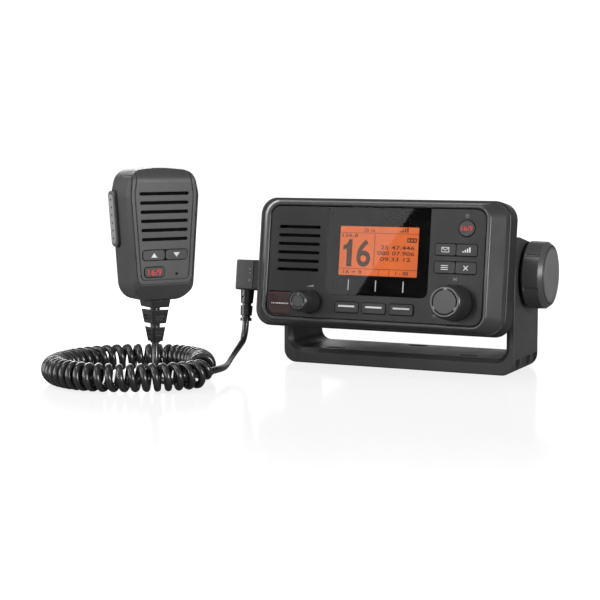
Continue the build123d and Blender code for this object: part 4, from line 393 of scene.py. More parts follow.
BLACK_FLAG = [(-0.475, 0.10), (-0.29, 0.10), (-0.29, 0.38), (-0.311, 0.38)]  # x and z of its corners
BLACK_FLAG_Y = -1.0

FLOOR_SIZE = 4.0
FLOOR_DROP = 0.0002
FLOOR_GREY = (0.3, 0.3, 0.3, 1)  # what the object's own surfaces see
SHADOW_GREY = (0.22, 0.22, 0.22, 1)  # the part of the white that a shadow takes away
# from one distance to another, in metres, and from one level to another
FLOOR_WHITE = (0.25, 0.5, 0.93, 1.05)
FLOOR_POLISH = (0.3, 0.7, 0.15, 0.0)
POLISH_ROUGHNESS = 0.12

ROOM_LEVEL = 0.22
ROOM_MIRRORED = (-0.2, 0.3, 0.42, 0.2)  # from in front of the object to behind it
BACKDROP_WAY = (-0.424, 0.892, 0.14)  # towards the white part of the room that the floor mirrors
BACKDROP_EDGE = (0.9, 0.955)  # cosines of the angles off that way between which it fades
WHITE = (1, 1, 1, 1)


def stand_black_flag():
    """An upright black card in front, which only mirror-like surfaces see."""
    card = bmesh.new()
    corners = [card.verts.new((x, BLACK_FLAG_Y, z)) for x, z in BLACK_FLAG]
    bmesh.ops.contextual_create(card, geom=corners)
    mesh = bpy.data.meshes.new("black_flag")
    card.to_mesh(mesh)
    card.free()
    mesh.materials.append(finish_of("black_card", srgb(6, 6, 6), 0.9, specular=0.1))
    stand = bpy.data.objects.new("black_flag", mesh)
    stand.visible_camera = False
    stand.visible_diffuse = False
    stand.visible_shadow = False
    scene.collection.objects.link(stand)


def lay_floor():
    """A pale sheet that is plain white but for the object's shadow and a faint reflection."""
    sheet = bmesh.new()
    bmesh.ops.create_grid(sheet, x_segments=1, y_segments=1, size=FLOOR_SIZE)
    bmesh.ops.translate(sheet, verts=sheet.verts, vec=(0, 0, -FLOOR_DROP))
    mesh = bpy.data.meshes.new("studio_floor")
    sheet.to_mesh(mesh)
    sheet.free()
    floor = bpy.data.objects.new("studio_floor", mesh)
    scene.collection.objects.link(floor)
    surface = bpy.data.materials.new("studio_floor")
    surface.use_nodes = True
    tree = surface.node_tree
    tree.nodes.remove(tree.nodes["Principled BSDF"])
    ray = add(tree, "ShaderNodeLightPath").outputs
    seen = math(tree, "MAXIMUM", ray["Is Camera Ray"], ray["Is Transmission Ray"])
    where = add(tree, "ShaderNodeTexCoord").outputs["Object"]
    away = add(tree, "ShaderNodeVectorMath", {0: where}, operation="LENGTH").outputs["Value"]
    level = ramp(tree, away, *FLOOR_WHITE)
    matt = add(tree, "ShaderNodeBsdfDiffuse", {"Color": FLOOR_GREY}).outputs[0]
    shadowed = add(tree, "ShaderNodeBsdfDiffuse", {"Color": SHADOW_GREY}).outputs[0]
    white = add(tree, "ShaderNodeEmission", {"Color": WHITE, "Strength": level}).outputs[0]
    polish = add(tree, "ShaderNodeBsdfGlossy", {"Color": WHITE, "Roughness": POLISH_ROUGHNESS}).outputs[0]
    bright = add(tree, "ShaderNodeAddShader", {0: white, 1: shadowed}).outputs[0]
    share = ramp(tree, away, *FLOOR_POLISH)
    glazed = add(tree, "ShaderNodeMixShader", {0: share, 1: bright, 2: polish}).outputs[0]
    both = add(tree, "ShaderNodeMixShader", {0: seen, 1: matt, 2: glazed}).outputs[0]
    tree.links.new(both, tree.nodes["Material Output"].inputs["Surface"])
    mesh.materials.append(surface)


def light_the_studio():
    """The soft lamps, and a room that is white where it is seen and dim where it lights the object."""
    for light in SOFTBOXES:
        softbox(*light)

    world = bpy.data.worlds.new("studio")
    world.use_nodes = True
    scene.world = world
    tree = world.node_tree
    ray = add(tree, "ShaderNodeLightPath").outputs
    seen = math(tree, "MAXIMUM", ray["Is Camera Ray"], ray["Is Transmission Ray"])
    way = add(tree, "ShaderNodeTexCoord").outputs["Generated"]
    forward = add(tree, "ShaderNodeSeparateXYZ", {0: way}).outputs["Y"]
    behind = add(tree, "ShaderNodeVectorMath", {0: way, 1: BACKDROP_WAY}, operation="DOT_PRODUCT")
    backdrop = ramp(tree, behind.outputs["Value"], *BACKDROP_EDGE)
    mirrored = math(tree, "MAXIMUM", ramp(tree, forward, *ROOM_MIRRORED), backdrop)
    lit = add(tree, "ShaderNodeMix", {0: ray["Is Glossy Ray"], 2: ROOM_LEVEL, 3: mirrored}).outputs[0]
    level = add(tree, "ShaderNodeMix", {0: seen, 2: lit, 3: 1.0}).outputs[0]
    around = tree.nodes["Background"]
    around.inputs["Color"].default_value = WHITE
    tree.links.new(level, around.inputs["Strength"])
    scene.view_settings.view_transform = "Standard"


take_view()
lay_floor()
light_the_studio()
stand_black_flag()


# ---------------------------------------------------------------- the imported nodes' finishes
def dress(name, finish):
    """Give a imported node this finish, in each of its slots."""
    mesh = nodes[name].data
    if not mesh.materials:
        mesh.materials.append(finish)
    for slot in range(len(mesh.materials)):
        mesh.materials[slot] = finish


for part in frame["record"]["subparts"]:
    dress(part["node"], FINISHES[part["material_slot"]])

for name, finish in (
    ("trim_frame", TRIM), ("front_housing", HOUSING), ("plug_housing", PLUG_MOULDING),
    ("left_clamp_knob", CLAMP_KNOB_PAINTED_HIGHLIGHT), ("right_clamp_knob", CLAMP_KNOB_PAINTED_HIGHLIGHT),
    ("mic_front_shell", HANDSET_MOULDING), ("mic_rear_shell", HANDSET_MOULDING),
    ("mic_key_up", HANDSET_KEY), ("mic_key_down", HANDSET_KEY), ("ptt_button", TALK_BAR),
):
    dress(name, finish)


# ---------------------------------------------------------------- modelling helpers
def set_down(name, mesh, finish, body, place, smooth=False):
    """Move a piece modelled in millimetres to its place, dress it and set it on its body."""
    mesh.transform(place @ Matrix.Scale(MM, 4))
    if smooth:
        for face in mesh.polygons:
            face.use_smooth = True
        mesh.set_sharp_from_angle(angle=radians(32))
    mesh.materials.clear()
    mesh.materials.append(finish)
    piece = bpy.data.objects.new(name, mesh)
    scene.collection.objects.link(piece)
    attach(piece, body)
    return piece


def closed(name, shape):
    """End a bmesh: doubles merged, faces turned outwards, as a mesh."""
    bmesh.ops.remove_doubles(shape, verts=shape.verts, dist=0.0005)
    bmesh.ops.recalc_face_normals(shape, faces=shape.faces)
    mesh = bpy.data.meshes.new(name)
    shape.to_mesh(mesh)
    shape.free()
    return mesh


CORNER_STEPS = 5


def box(x, z, width, height, corner=0.0):
    """A rectangle's outline about its middle, its corners rounded."""
    points = []
    for side_x, side_z, start in ((1, 1, 0), (-1, 1, 90), (-1, -1, 180), (1, -1, 270)):
        centre_x = x + side_x * (width / 2 - corner)
        centre_z = z + side_z * (height / 2 - corner)
        for step in range(CORNER_STEPS + 1 if corner else 1):
            angle = radians(start + 90 * step / CORNER_STEPS)
            points.append((centre_x + corner * cos(angle), centre_z + corner * sin(angle)))
    return points


def disc(x, z, radius, steps=32):
    angles = [2 * pi * k / steps for k in range(steps)]
    return [(x + radius * cos(a), z + radius * sin(a)) for a in angles]


def stroke(x0, z0, x1, z1, width):
    """A straight line with a width, as an outline."""
    way = Vector((x1 - x0, z1 - z0)).normalized() * width / 2
    side = (-way.y, way.x)
    return [
        (x0 + side[0], z0 + side[1]), (x0 - side[0], z0 - side[1]),
        (x1 - side[0], z1 - side[1]), (x1 + side[0], z1 + side[1]),
    ]


ARC_STEPS = 20


def arc(x, z, radius, width, start, end):
    """A bent stroke: part of a ring between two angles in degrees."""
    angles = [radians(start + (end - start) * k / ARC_STEPS) for k in range(ARC_STEPS + 1)]
    outer = radius + width / 2
    inner = radius - width / 2
    there = [(x + outer * cos(a), z + outer * sin(a)) for a in angles]
    back = [(x + inner * cos(a), z + inner * sin(a)) for a in reversed(angles)]
    return there + back


FACING = Matrix.Rotation(radians(90), 4, "X")  # a flat drawing stood up to face the front


def flat(name, outlines, thick):
    """Filled outlines of some thickness, upright with their front at y = 0. One inside another is a hole."""
    curve = bpy.data.curves.new(name, "CURVE")
    curve.dimensions = "2D"
    curve.fill_mode = "BOTH"
    curve.extrude = thick / 2
    for outline in outlines:
        spline = curve.splines.new("POLY")
        spline.points.add(len(outline) - 1)
        for point, (x, z) in zip(spline.points, outline):
            point.co = (x, z, 0, 1)
        spline.use_cyclic_u = True
    return stood_up(name, curve, thick)


def stood_up(name, curve, thick):
    """A flat curve as an upright mesh."""
    holder = bpy.data.objects.new(name, curve)
    scene.collection.objects.link(holder)
    bpy.context.view_layer.update()
    mesh = bpy.data.meshes.new_from_object(holder)
    bpy.data.objects.remove(holder)
    mesh.transform(Matrix.Translation((0, thick / 2, 0)) @ FACING)
    return mesh


def figures(name, text, x, z, width, height, thick, bold=0.0):
    """Digits or plain signs, made to fill this width and height about (x, z)."""
    curve = bpy.data.curves.new(name, "FONT")
    curve.body = text
    curve.size = 1.0
    curve.offset = bold
    curve.resolution_u = 6
    curve.extrude = thick / 2
    mesh = stood_up(name, curve, thick)
    corners = [vertex.co for vertex in mesh.vertices]
    left = min(c.x for c in corners)
    right = max(c.x for c in corners)
    low = min(c.z for c in corners)
    high = max(c.z for c in corners)
    grow = Matrix.Diagonal((width / (right - left), 1, height / (high - low), 1))
    centre = Matrix.Translation((-(left + right) / 2, 0, -(low + high) / 2))
    mesh.transform(Matrix.Translation((x, 0, z)) @ grow @ centre)
    return mesh


def print_on(name, mesh, front, finish, body, place=RADIO):
    """Set a flat mark down with its front at this depth."""
    mesh.transform(Matrix.Translation((0, front, 0)))
    return set_down(name, mesh, finish, body, place)


def mark(name, outlines, thick, front, finish, body, place=RADIO):
    """A flat mark from its outlines, in its place."""
    return print_on(name, flat(name, outlines, thick), front, finish, body, place)


# ---------------------------------------------------------------- cords
CORD_RADIUS = 2.2
COIL_ROUTE = [
    (-86.5, -129, 8.7), (-93.5, -112.5, 8.7), (-107.5, -99, 8.7), (-129, -93, 8.7), (-151.5, -101, 8.7),
    (-167.5, -118.5, 8.7), (-174, -142, 8.7), (-170, -166, 8.7), (-153, -184.5, 8.7), (-129, -190, 8.7),
    (-105, -182.5, 8.7), (-86, -169, 8.7), (-76.5, -155.5, 8.7), (-75.5, -143, 8.7),
]
COIL_RADIUS = 6.5
COIL_STEPS = 16  # points in a turn
COIL_RUN_IN = 7.0  # the stretch in which the turns grow from the cord's own line
COIL_SLOWEST = 0.1  # how slowly it winds there, as a share of its usual winding
COIL_PITCH = (  # share of the way along, millimetres from turn to turn there
    (0.0, 4.5), (0.17, 4.7), (0.24, 6.9), (0.42, 6.7), (0.5, 4.9),
    (0.68, 4.8), (0.74, 6.3), (0.97, 6.5), (1.0, 6.0),
)


def beyond(end, before, reach):
    """The point that carries the line from before to end that much further."""
    end = Vector(end)
    return tuple(end + (end - Vector(before)).normalized() * reach)


BOOT_END = (-94.8, -48.5, -39.75)  # the plug's boot, in the radio's frame
BOOT_REACH = 11.0  # the cord's first stretch out of the boot, in line with it


def from_radio(x, y, z):
    """A point of the radio's frame in the part's own, in millimetres."""
    return tuple(RADIO @ Vector((x * MM, y * MM, z * MM)) * 1000)


PLUG_EXIT = from_radio(*BOOT_END)
PLUG_EXIT_LOW = from_radio(BOOT_END[0], BOOT_END[1], BOOT_END[2] - BOOT_REACH)
MIC_TAIL = [
    (-112.3, -140, 24.5), (-112.3, -140, 13.8), (-108.5, -147.5, 5.2), (-98, -154, 2.8), (-86, -152.5, 4.4),
    beyond(COIL_ROUTE[0], COIL_ROUTE[1], 12), COIL_ROUTE[0],
]
PLUG_TAIL = [
    COIL_ROUTE[-1], beyond(COIL_ROUTE[-1], COIL_ROUTE[-2], 10), (-79, -112.5, 7.5), (-84.5, -98, 8.5),
    (-89.5, -83, 10.5), (-93, -67.5, 14), PLUG_EXIT_LOW, PLUG_EXIT,
]


SECTION_SMOOTHNESS = 4
ROUTE_SMOOTHNESS = 24
COIL_SMOOTHNESS = 2
TAIL_SMOOTHNESS = 10


def curve_of(name, points, smoothness, radius=0.0):
    """A NURBS curve with control points in millimetres, and a round section if it has a radius."""
    curve = bpy.data.curves.new(name, "CURVE")
    curve.dimensions = "3D"
    curve.resolution_u = smoothness
    curve.bevel_depth = radius * MM
    curve.bevel_resolution = SECTION_SMOOTHNESS
    curve.use_fill_caps = radius > 0
    spline = curve.splines.new("NURBS")
    spline.points.add(len(points) - 1)
    for point, place in zip(spline.points, points):
        point.co = (*[c * MM for c in place], 1.0)
    spline.order_u = 3
    spline.use_endpoint_u = True
    piece = bpy.data.objects.new(name, curve)
    scene.collection.objects.link(piece)
    return piece


def route_line(points):
    """The points of a route's own smooth line, in millimetres."""
    holder = curve_of("route", points, ROUTE_SMOOTHNESS)
    mesh = bpy.data.meshes.new_from_object(holder)
    line = [vertex.co / MM for vertex in mesh.vertices]
    bpy.data.objects.remove(holder)
    bpy.data.meshes.remove(mesh)
    return line


def line_length(line):
    return sum((after - before).length for before, after in zip(line, line[1:]))


def at(line, along):
    """The point and the direction at this distance along a line."""
    for before, after in zip(line, line[1:]):
        step = (after - before).length
        if along <= step:
            return before.lerp(after, along / step), (after - before).normalized()
        along -= step
    return line[-1], (line[-1] - line[-2]).normalized()


def pitch_at(share):
    """The coil's pitch at this share of its way."""
    for (low, first), (high, second) in zip(COIL_PITCH, COIL_PITCH[1:]):
        if share <= high:
            return first + (second - first) * (share - low) / (high - low)
    return COIL_PITCH[-1][1]


def coil_turns(line):
    """The curly cord's turns, wound round its route; both ends run in to the axis."""
    whole = line_length(line)
    points = []
    along = 0.0
    turn = 0.0
    while along < whole:
        centre, way = at(line, along)
        ease = min(1.0, along / COIL_RUN_IN, (whole - along) / COIL_RUN_IN)
        reach = COIL_RADIUS * sin(ease * pi / 2)
        across = way.cross(Vector((0, 0, 1)))
        points.append(centre + across * (cos(turn) * reach) + Vector((0, 0, sin(turn) * reach)))
        turn -= 2 * pi / COIL_STEPS * max(ease, COIL_SLOWEST)
        along += pitch_at(along / whole) / COIL_STEPS
    return [*points[:-1], line[-1]]


def lay_cord(name, points, smoothness, node, body=None, blend=None, path=None):
    """A cord in its place: one open curve set on its body, or, when a blend is given, a mesh tube left in the
    world's frame.
    """
    piece = curve_of(name, points, smoothness, CORD_RADIUS)
    piece.data.materials.append(FINISHES["cord_rubber"])
    if blend:
        mesh = bpy.data.meshes.new_from_object(piece)
        bpy.data.objects.remove(piece)
        for face in mesh.polygons:
            face.use_smooth = True
        piece = bpy.data.objects.new(name, mesh)
        scene.collection.objects.link(piece)
        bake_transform(piece)
    else:
        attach(piece, body)
    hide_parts(node)


def in_metres(point):
    return tuple(c * MM for c in point)


coil = coil_turns(route_line(COIL_ROUTE))
lay_cord(
    "curly_cord_turns", coil, COIL_SMOOTHNESS, "curly_cord",
    body="bracket",
)
lay_cord(
    "microphone_tail", MIC_TAIL, TAIL_SMOOTHNESS, "mic_cord",
    blend=("bracket", "handset", in_metres(MIC_TAIL[-1]), in_metres(MIC_TAIL[0])),
    path=route_line(MIC_TAIL),
)
lay_cord(
    "plug_tail", PLUG_TAIL, TAIL_SMOOTHNESS, "plug_cord",
    blend=("bracket", "radio", in_metres(PLUG_TAIL[0]), in_metres(PLUG_TAIL[-1])),
    path=route_line(PLUG_TAIL),
)


# ---------------------------------------------------------------- display
FACE = front_of("front_panel")
PRINT = 0.03  # thickness of an ink
FILM = 0.04  # thickness of a black film, or of a thicker ink
INLAY = 0.05  # thickness of a sign on a key

LENS_THICK = 1.55
LENS_CORNER = 4.0
SCREEN_THICK = 0.05
TICKS_AT = FACE + 1.585
BORDER_AT = FACE + 1.62
SCREEN_INK_AT = FACE + 1.70
SCREEN_AT = FACE + 1.74

SCREEN = (2.6, 8.0, 52.8, 30.9)  # x, z, width, height
SCREEN_X, SCREEN_Z, SCREEN_WIDTH, SCREEN_HEIGHT = SCREEN
SCREEN_OVERLAP = 0.6  # how much wider it is than the border's opening
SCREEN_CORNER = 0.6
TICK_X = (-16.6, 1.9, 20.3)
TICK_Z = -13.6
TICK_SIZE = (0.55, 6.8)  # width, height

LARGE_BOLD = 0.02
SMALL_BOLD = 0.012
SCREEN_ROWS = (  # name, digits, x, z, width, height, boldness
    ("channel_six", "6", -7.4, 6.7, 9.4, 17.2, LARGE_BOLD),
    ("row_top_left", "156.8", -17.0, 17.6, 10.6, 2.2, SMALL_BOLD),
    ("row_top_middle", "25 16", -4.0, 21.0, 7.0, 1.9, SMALL_BOLD),
    ("row_latitude", "25 47.446", 15.2, 10.6, 22.6, 2.5, SMALL_BOLD),
    ("row_longitude", "080 07.906", 14.2, 7.0, 24.6, 2.5, SMALL_BOLD),
    ("row_time", "09:33 12", 14.0, 3.3, 20.2, 2.5, SMALL_BOLD),
    ("row_bottom_left", "16 + 9", -14.4, -5.3, 12.6, 2.2, SMALL_BOLD),
    ("row_bottom_right", "1 - 88", 18.9, -5.3, 8.4, 2.2, SMALL_BOLD),
)
CHANNEL_ONE = [
    (-18.9, -2.0), (-15.3, -2.0), (-15.3, 15.2), (-17.6, 15.2),
    (-18.6, 12.6), (-21.4, 11.2), (-21.4, 8.4), (-18.9, 9.2),
]
SCREEN_RULES = (  # x, z, width, height
    (SCREEN_X, -3.2, SCREEN_WIDTH, 0.3), (-0.2, 8.6, 0.35, 20.6), (3.2, -5.4, 0.3, 3.7),
    (10.4, -5.4, 0.3, 3.7), (SCREEN_X, 19.3, SCREEN_WIDTH, 0.25),
)
BADGE = (24.6, 15.4, 6.4, 2.8, 0.4)  # x, z, width, height, corner
BADGE_CELL = (1.1, 1.2)
BADGE_PITCH = 1.9
SIGNAL_X, SIGNAL_Z = 17.0, 20.6  # the middle of its lowest bar
SIGNAL_PITCH = 1.5
SIGNAL_BAR = 0.9
SIGNAL_STEP = 0.8  # from one bar's height to the next one's


def lens_outline():
    """The window's own outline: square corners at its top, round ones at its foot."""
    low, high = span_of("display_window")
    foot = low[2] + LENS_CORNER
    quarter = [radians(15 * k) for k in range(7)]
    left_foot = low[0] + LENS_CORNER
    right_foot = high[0] - LENS_CORNER
    return [
        (low[0], high[2]),
        *[(left_foot - LENS_CORNER * cos(a), foot - LENS_CORNER * sin(a)) for a in quarter],
        *[(right_foot + LENS_CORNER * sin(a), foot - LENS_CORNER * cos(a)) for a in quarter],
        (high[0], high[2]),
    ]


def make_display():
    """The window in layers: glass, black border with the soft keys' ticks, and the lit screen."""
    lens = lens_outline()
    glass = mark("window_lens", [lens], LENS_THICK, FACE, WINDOW_GLASS, "radio")
    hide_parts("display_window")
    opening = box(*SCREEN, SCREEN_CORNER)
    mark("window_border", [lens, opening], FILM, BORDER_AT, WINDOW_BLACK, "radio")
    ticks = [box(x, TICK_Z, *TICK_SIZE) for x in TICK_X]
    mark("softkey_ticks", ticks, PRINT, TICKS_AT, WHITE_INK, "radio")
    screen = box(SCREEN_X, SCREEN_Z, SCREEN_WIDTH + SCREEN_OVERLAP, SCREEN_HEIGHT + SCREEN_OVERLAP)
    mark("screen", [screen], SCREEN_THICK, SCREEN_AT, SCREEN_GLOW, "radio")


def draw_screen():
    """The channel's large digits, rules between the fields, and small rows of digits."""
    for name, digits, x, z, width, height, bold in SCREEN_ROWS:
        row = figures(name, digits, x, z, width, height, PRINT, bold)
        print_on(name, row, SCREEN_INK_AT, SCREEN_INK, "radio")
    mark("channel_one", [CHANNEL_ONE], PRINT, SCREEN_INK_AT, SCREEN_INK, "radio")
    rules = [box(*rule) for rule in SCREEN_RULES]
    signal = [
        box(SIGNAL_X + SIGNAL_PITCH * k, SIGNAL_Z + SIGNAL_STEP / 2 * k, SIGNAL_BAR, SIGNAL_STEP * (k + 1))
        for k in range(4)
    ]
    mark("screen_rules", [*rules, *signal], PRINT, SCREEN_INK_AT, SCREEN_INK, "radio")
    cells = [box(BADGE[0] + BADGE_PITCH * k, BADGE[1], *BADGE_CELL) for k in (-1, 0, 1)]
    mark("screen_badge", [box(*BADGE), *cells], PRINT, SCREEN_INK_AT - 0.01, SCREEN_INK, "radio")


make_display()
draw_screen()


# ---------------------------------------------------------------- marks on the face and its keys
KEY_FRONT = front_of("key_menu")
POWER_SIGN = (60.1, 31.2)
SELECT_SIGN = (54.35, -7.5)
BRIGHTNESS_SIGN = (42.1, -30.6)
VOLUME_WEDGE = [(-45.3, -15.9), (-40.0, -15.9), (-40.0, -14.5)]
SIGN_LINE = 0.28  # the width of a small sign's line
BAR_LIFT = 0.7  # a soft key's bar above the key's middle
BAR_SIZE = (11.1, 1.15, 0.2)  # width, height, corner
SIGN_SHIFT = 0.4  # the paired keys' signs nearer to each other than the keys' middles
CHANNEL_KEY_DIGITS = (7.2, 3.0)  # width, height
CALL_KEY_DIGITS = (9.0, 3.6)
DOOR_ROW_Z = -27.2
DOOR_DOTS_X = (-68.8, -59.9)  # the first of three
DOOR_DOT = 0.46
DOOR_DOT_PITCH = 1.15
DOOR_DASHES_X = -64.9
DOOR_DASH = (1.3, 0.9)
DOOR_DASH_PITCH = 1.75


def sixteen_nine(name, x, z, width, height, front, body, place):
    """The two channel numbers with a slanting stroke between them."""
    left = x - width / 2
    foot = z - 0.55 * height
    head = z + 0.55 * height
    sixteen = figures(f"{name}_sixteen", "16", left + 0.27 * width, z, 0.52 * width, height, INLAY)
    print_on(f"{name}_sixteen", sixteen, front, RED_GLOW, body, place)
    nine = figures(f"{name}_nine", "9", left + 0.87 * width, z, 0.25 * width, height, INLAY)
    print_on(f"{name}_nine", nine, front, RED_GLOW, body, place)
    slant = stroke(left + 0.6 * width, foot, left + 0.7 * width, head, 0.32)
    mark(f"{name}_stroke", [slant], INLAY, front, RED_GLOW, body, place)


def power_sign(x, z):
    return [arc(x, z, 1.0, SIGN_LINE, 125, 415), box(x, z + 0.7, SIGN_LINE, 1.5)]


def turning_sign(x, z):
    return [disc(x, z, 0.45), arc(x, z, 1.1, 0.26, -60, 60), arc(x, z, 1.1, 0.26, 120, 240)]


def sun_sign(x, z):
    ways = [Vector((cos(pi * k / 4), sin(pi * k / 4))) for k in range(8)]
    rays = [
        stroke(x + 0.85 * way.x, z + 0.85 * way.y, x + 1.4 * way.x, z + 1.4 * way.y, 0.22) for way in ways
    ]
    return [disc(x, z, 0.5), *rays]


def mark_face():
    """Small signs in place of words: power, volume, select and brightness."""
    for name, outlines in (
        ("power", power_sign(*POWER_SIGN)), ("volume", [VOLUME_WEDGE]),
        ("select", turning_sign(*SELECT_SIGN)), ("brightness", sun_sign(*BRIGHTNESS_SIGN)),
    ):
        mark(f"{name}_mark", outlines, PRINT, FACE - PRINT, GREY_INK, "radio")


def envelope_sign(x, z):
    return [box(x, z, 5.0, 3.2, 0.3), box(x, z, 4.2, 2.4, 0.1)]


def flap_sign(x, z):
    return [stroke(x + side * 2.2, z + 1.2, x, z - 0.4, 0.4) for side in (-1, 1)]


def levels_sign(x, z):
    return [box(x - 2.1 + 1.4 * k, z - 1.4 + 0.4 * (k + 1), 0.9, 0.8 * (k + 1)) for k in range(4)]


def lines_sign(x, z):
    return [box(x, z + 1.2 * k, 4.6, 0.5, 0.1) for k in (-1, 0, 1)]


def falling_stroke(x, z):
    return [stroke(x - 1.4, z + 1.4, x + 1.4, z - 1.4, 0.55)]


def rising_stroke(x, z):
    return [stroke(x - 1.4, z - 1.4, x + 1.4, z + 1.4, 0.55)]


def mark_keys():
    """White bars on the soft keys and a sign on each key of the two pairs."""
    for side in ("left", "middle", "right"):
        x, z = centre_of(f"softkey_{side}")
        bar = box(x, z + BAR_LIFT, *BAR_SIZE)
        mark(f"softkey_{side}_bar", [bar], INLAY, KEY_FRONT - INLAY, WHITE_INK, f"softkey_{side}")
    for key, shift, layer, sign in (  # a sign's layer is how many hundredths it stands out
        ("key_call_menu", SIGN_SHIFT, 5, envelope_sign), ("key_call_menu", SIGN_SHIFT, 6, flap_sign),
        ("key_power_level", -SIGN_SHIFT, 5, levels_sign), ("key_menu", SIGN_SHIFT, 5, lines_sign),
        ("key_clear", -SIGN_SHIFT, 5, rising_stroke), ("key_clear", -SIGN_SHIFT, 6, falling_stroke),
    ):
        x, z = centre_of(key)
        mark(f"{key}_sign_{layer}", sign(x + shift, z), INLAY, KEY_FRONT - layer / 100, WHITE_INK, key)
    x, z = centre_of("key_channel_16")
    sixteen_nine("channel_16", x, z, *CHANNEL_KEY_DIGITS, KEY_FRONT - INLAY, "key_channel_16", RADIO)


def mark_door():
    """Three dots, three dashes, three dots in a row on the distress door."""
    dots = [
        [disc(first + DOOR_DOT_PITCH * k, DOOR_ROW_Z, DOOR_DOT, 12) for k in range(3)]
        for first in DOOR_DOTS_X
    ]
    dashes = [box(DOOR_DASHES_X + DOOR_DASH_PITCH * k, DOOR_ROW_Z, *DOOR_DASH) for k in range(3)]
    signs = [*dots[0], *dashes, *dots[1]]
    mark("door_signs", signs, FILM, FACE - FILM, WHITE_INK, "distress_door")


KNOB_FRONT = front_of("select_knob")
KNOB_PLATE = 0.06
BRIDGE_PLATE = 0.05
GROOVE_FLOOR = 0.95  # how deep the floor of a knob's groove lies
KNOB_ROUND = 0.82  # the rounding of a knob's tip, which its ring leaves free
# name, the tip's radius and the disc's share of it
KNOB_CAPS = (("volume", 5.9, 0.67), ("select", 9.8, 0.74))
GROOVE_SHARE = 0.085  # the groove's width, as a share of the tip's radius
BRIDGE_SHARE = 0.2
FINE = 64  # steps round a large disc


def cap_knobs():
    """Each turning knob's ring painted light as a highlight, its disc, painted shade on the floor of its
    groove, and three bridges over it painted light as highlights.
    """
    for name, tip, share in KNOB_CAPS:
        body = f"{name}_knob"
        x, z = centre_of(body)
        inner = tip * share
        outer = inner + tip * GROOVE_SHARE
        plate_at = KNOB_FRONT - KNOB_PLATE
        ring = [disc(x, z, tip - KNOB_ROUND, FINE), disc(x, z, outer + 0.03, FINE)]
        mark(f"{name}_ring", ring, KNOB_PLATE, plate_at, KNOB_RING_PAINTED_HIGHLIGHT, body)
        centre = [disc(x, z, inner - 0.03, FINE)]
        mark(f"{name}_disc", centre, KNOB_PLATE, plate_at, KNOB_DISC, body)
        bridges = []
        for angle in (radians(90), radians(210), radians(330)):
            start = (x + inner * cos(angle), z + inner * sin(angle))
            end = (x + outer * cos(angle), z + outer * sin(angle))
            bridges.append(stroke(*start, *end, tip * BRIDGE_SHARE))
        bridges_at = KNOB_FRONT - BRIDGE_PLATE
        mark(f"{name}_bridges", bridges, BRIDGE_PLATE, bridges_at, KNOB_BRIDGE_PAINTED_HIGHLIGHT, body)
        # painted shade: a near-black film on the groove's floor
        groove = [disc(x, z, outer - 0.02, FINE), disc(x, z, inner + 0.02, FINE)]
        mark(f"{name}_groove", groove, FILM, KNOB_FRONT + GROOVE_FLOOR, GROOVE_PAINTED_SHADE, body)


CLAMP_CAP_BACK = 95.4
CLAMP_CAP_PROFILE = (  # radius, and distance from the radio's middle; it follows the knob's dome
    (0.0, 98.14), (4.0, 98.04), (8.0, 97.74), (12.0, 97.24), (15.0, 96.73), (16.6, 96.38),
    (16.9, 96.1), (16.9, CLAMP_CAP_BACK), (0.0, CLAMP_CAP_BACK),
)


def cap_clamps():
    """A shallow domed plate in the outer end of each clamp knob, lighter than the knob: painted light for its
    lit face.
    """
    for side, sign in (("left", -1), ("right", 1)):
        plate = bmesh.new()
        edge = [plate.verts.new((sign * out, 0, radius)) for radius, out in CLAMP_CAP_PROFILE]
        lines = [plate.edges.new(pair) for pair in zip(edge, edge[1:])]
        bmesh.ops.spin(
            plate, geom=edge + lines, cent=(0, 0, 0), axis=(1, 0, 0), angle=2 * pi, steps=72,
            use_merge=True,
        )
        mesh = closed(f"{side}_clamp_cap_painted_light", plate)
        set_down(f"{side}_clamp_cap_painted_light", mesh, CLAMP_CAP_PAINTED_LIGHT, f"{side}_clamp_knob", RADIO, smooth=True)


CLOTH_GAP = 0.01  # between a grille's back and its cloth
SPEAKER_CLOTH = (-51.9, 8.4, 17.3)  # x, z, radius
PLUG_X = -90.9
PLUG_DOTS = ((-5.65, 0.5), (-8.2, 0.5), (-13.1, 0.8))  # z, radius


def back_the_slits():
    """Black cloth behind the loudspeaker's slots, near black and matt: painted shade inside the slots."""
    panel_back = span_of("front_panel")[1][1]
    cloth = disc(*SPEAKER_CLOTH, FINE)
    mark("speaker_cloth", [cloth], PRINT, panel_back + CLOTH_GAP, GRILLE_CLOTH_PAINTED_SHADE, "radio")


def mark_plug():
    """Three dots down the plug's front."""
    dots = [disc(PLUG_X, z, radius, 16) for z, radius in PLUG_DOTS]
    mark("plug_marks", dots, FILM, front_of("plug_housing") - FILM, GREY_INK, "radio")


mark_face()
mark_keys()
mark_door()
cap_knobs()
cap_clamps()
back_the_slits()
mark_plug()


# ---------------------------------------------------------------- microphone
MIC_FACE = front_of("mic_front_shell", HANDSET)
MIC_KEY_FRONT = front_of("mic_key_up", HANDSET)
MIC_WALL = 2.2
MIC_CLOTH = (0, 51, 34, 34, 3.0)  # x, z, width, height, corner
ARROW_HALF_WIDTH = 2.15
ARROW_HALF_HEIGHT = 1.4
ARROW_SHIFT = 0.45  # towards each other from the keys' middles
CALL_SHIFT = 0.4

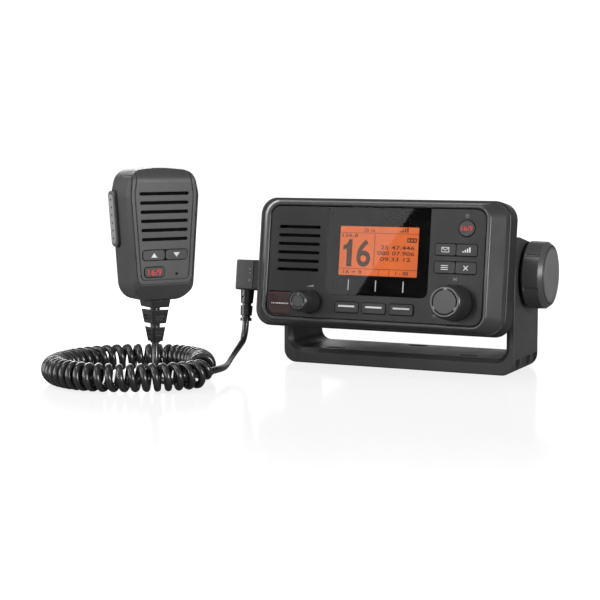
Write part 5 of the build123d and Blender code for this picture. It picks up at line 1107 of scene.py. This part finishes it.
TALK_BAR_LEAN = radians(4.167)
TALK_BAR_TOP = (-0.0243, 0, 0.0645)  # metres, in the handset's frame
TALK_PLATE = (-5.8, -15.0, 6.2, 30.0, 2.6)  # x, z, width, height, corner
TALK_PLATE_THICK = 0.2
TALK_PLATE_FRONT = -2.05
DIMPLE = 0.75
DIMPLE_PITCH = 4.65


def mark_microphone():
    """Arrow heads and digits on its keys."""
    sign_at = MIC_KEY_FRONT - INLAY
    for key, side in (("up", -1), ("down", 1)):
        x, z = centre_of(f"mic_key_{key}", HANDSET)
        tip = (x - side * ARROW_SHIFT, z - side * ARROW_HALF_HEIGHT)
        base = z + side * ARROW_HALF_HEIGHT
        arrow = [(tip[0] - ARROW_HALF_WIDTH, base), (tip[0] + ARROW_HALF_WIDTH, base), tip]
        mark(f"{key}_arrow", [arrow], INLAY, sign_at, WHITE_INK, f"mic_key_{key}", HANDSET)
    x, z = centre_of("mic_key_16", HANDSET)
    sixteen_nine("call", x - CALL_SHIFT, z, *CALL_KEY_DIGITS, sign_at, "mic_key_16", HANDSET)


def cap_talk_bar():
    """The talk bar's grey grip plate with its row of dimples."""
    lean = TALK_BAR_LEAN
    side = Matrix((
        (0, cos(lean), -sin(lean), TALK_BAR_TOP[0]),
        (-1, 0, 0, TALK_BAR_TOP[1]),
        (0, sin(lean), cos(lean), TALK_BAR_TOP[2]),
        (0, 0, 0, 1),
    ))
    place = HANDSET @ side
    mark("talk_plate", [box(*TALK_PLATE)], TALK_PLATE_THICK, TALK_PLATE_FRONT, TALK_CAP, "talk_bar", place)
    x, z = TALK_PLATE[:2]
    dimples = [disc(x, z + DIMPLE_PITCH * (k - 2.5), DIMPLE, 20) for k in range(6)]
    mark("talk_dots", dimples, INLAY, TALK_PLATE_FRONT - INLAY, TALK_DOT, "talk_bar", place)


def back_the_mic_slits():
    """Black cloth behind the microphone's slots, near black and matt: painted shade inside the slots."""
    cloth_at = MIC_FACE + MIC_WALL + CLOTH_GAP
    mark("mic_cloth", [box(*MIC_CLOTH)], PRINT, cloth_at, GRILLE_CLOTH_PAINTED_SHADE, "handset", HANDSET)


mark_microphone()
cap_talk_bar()
back_the_mic_slits()
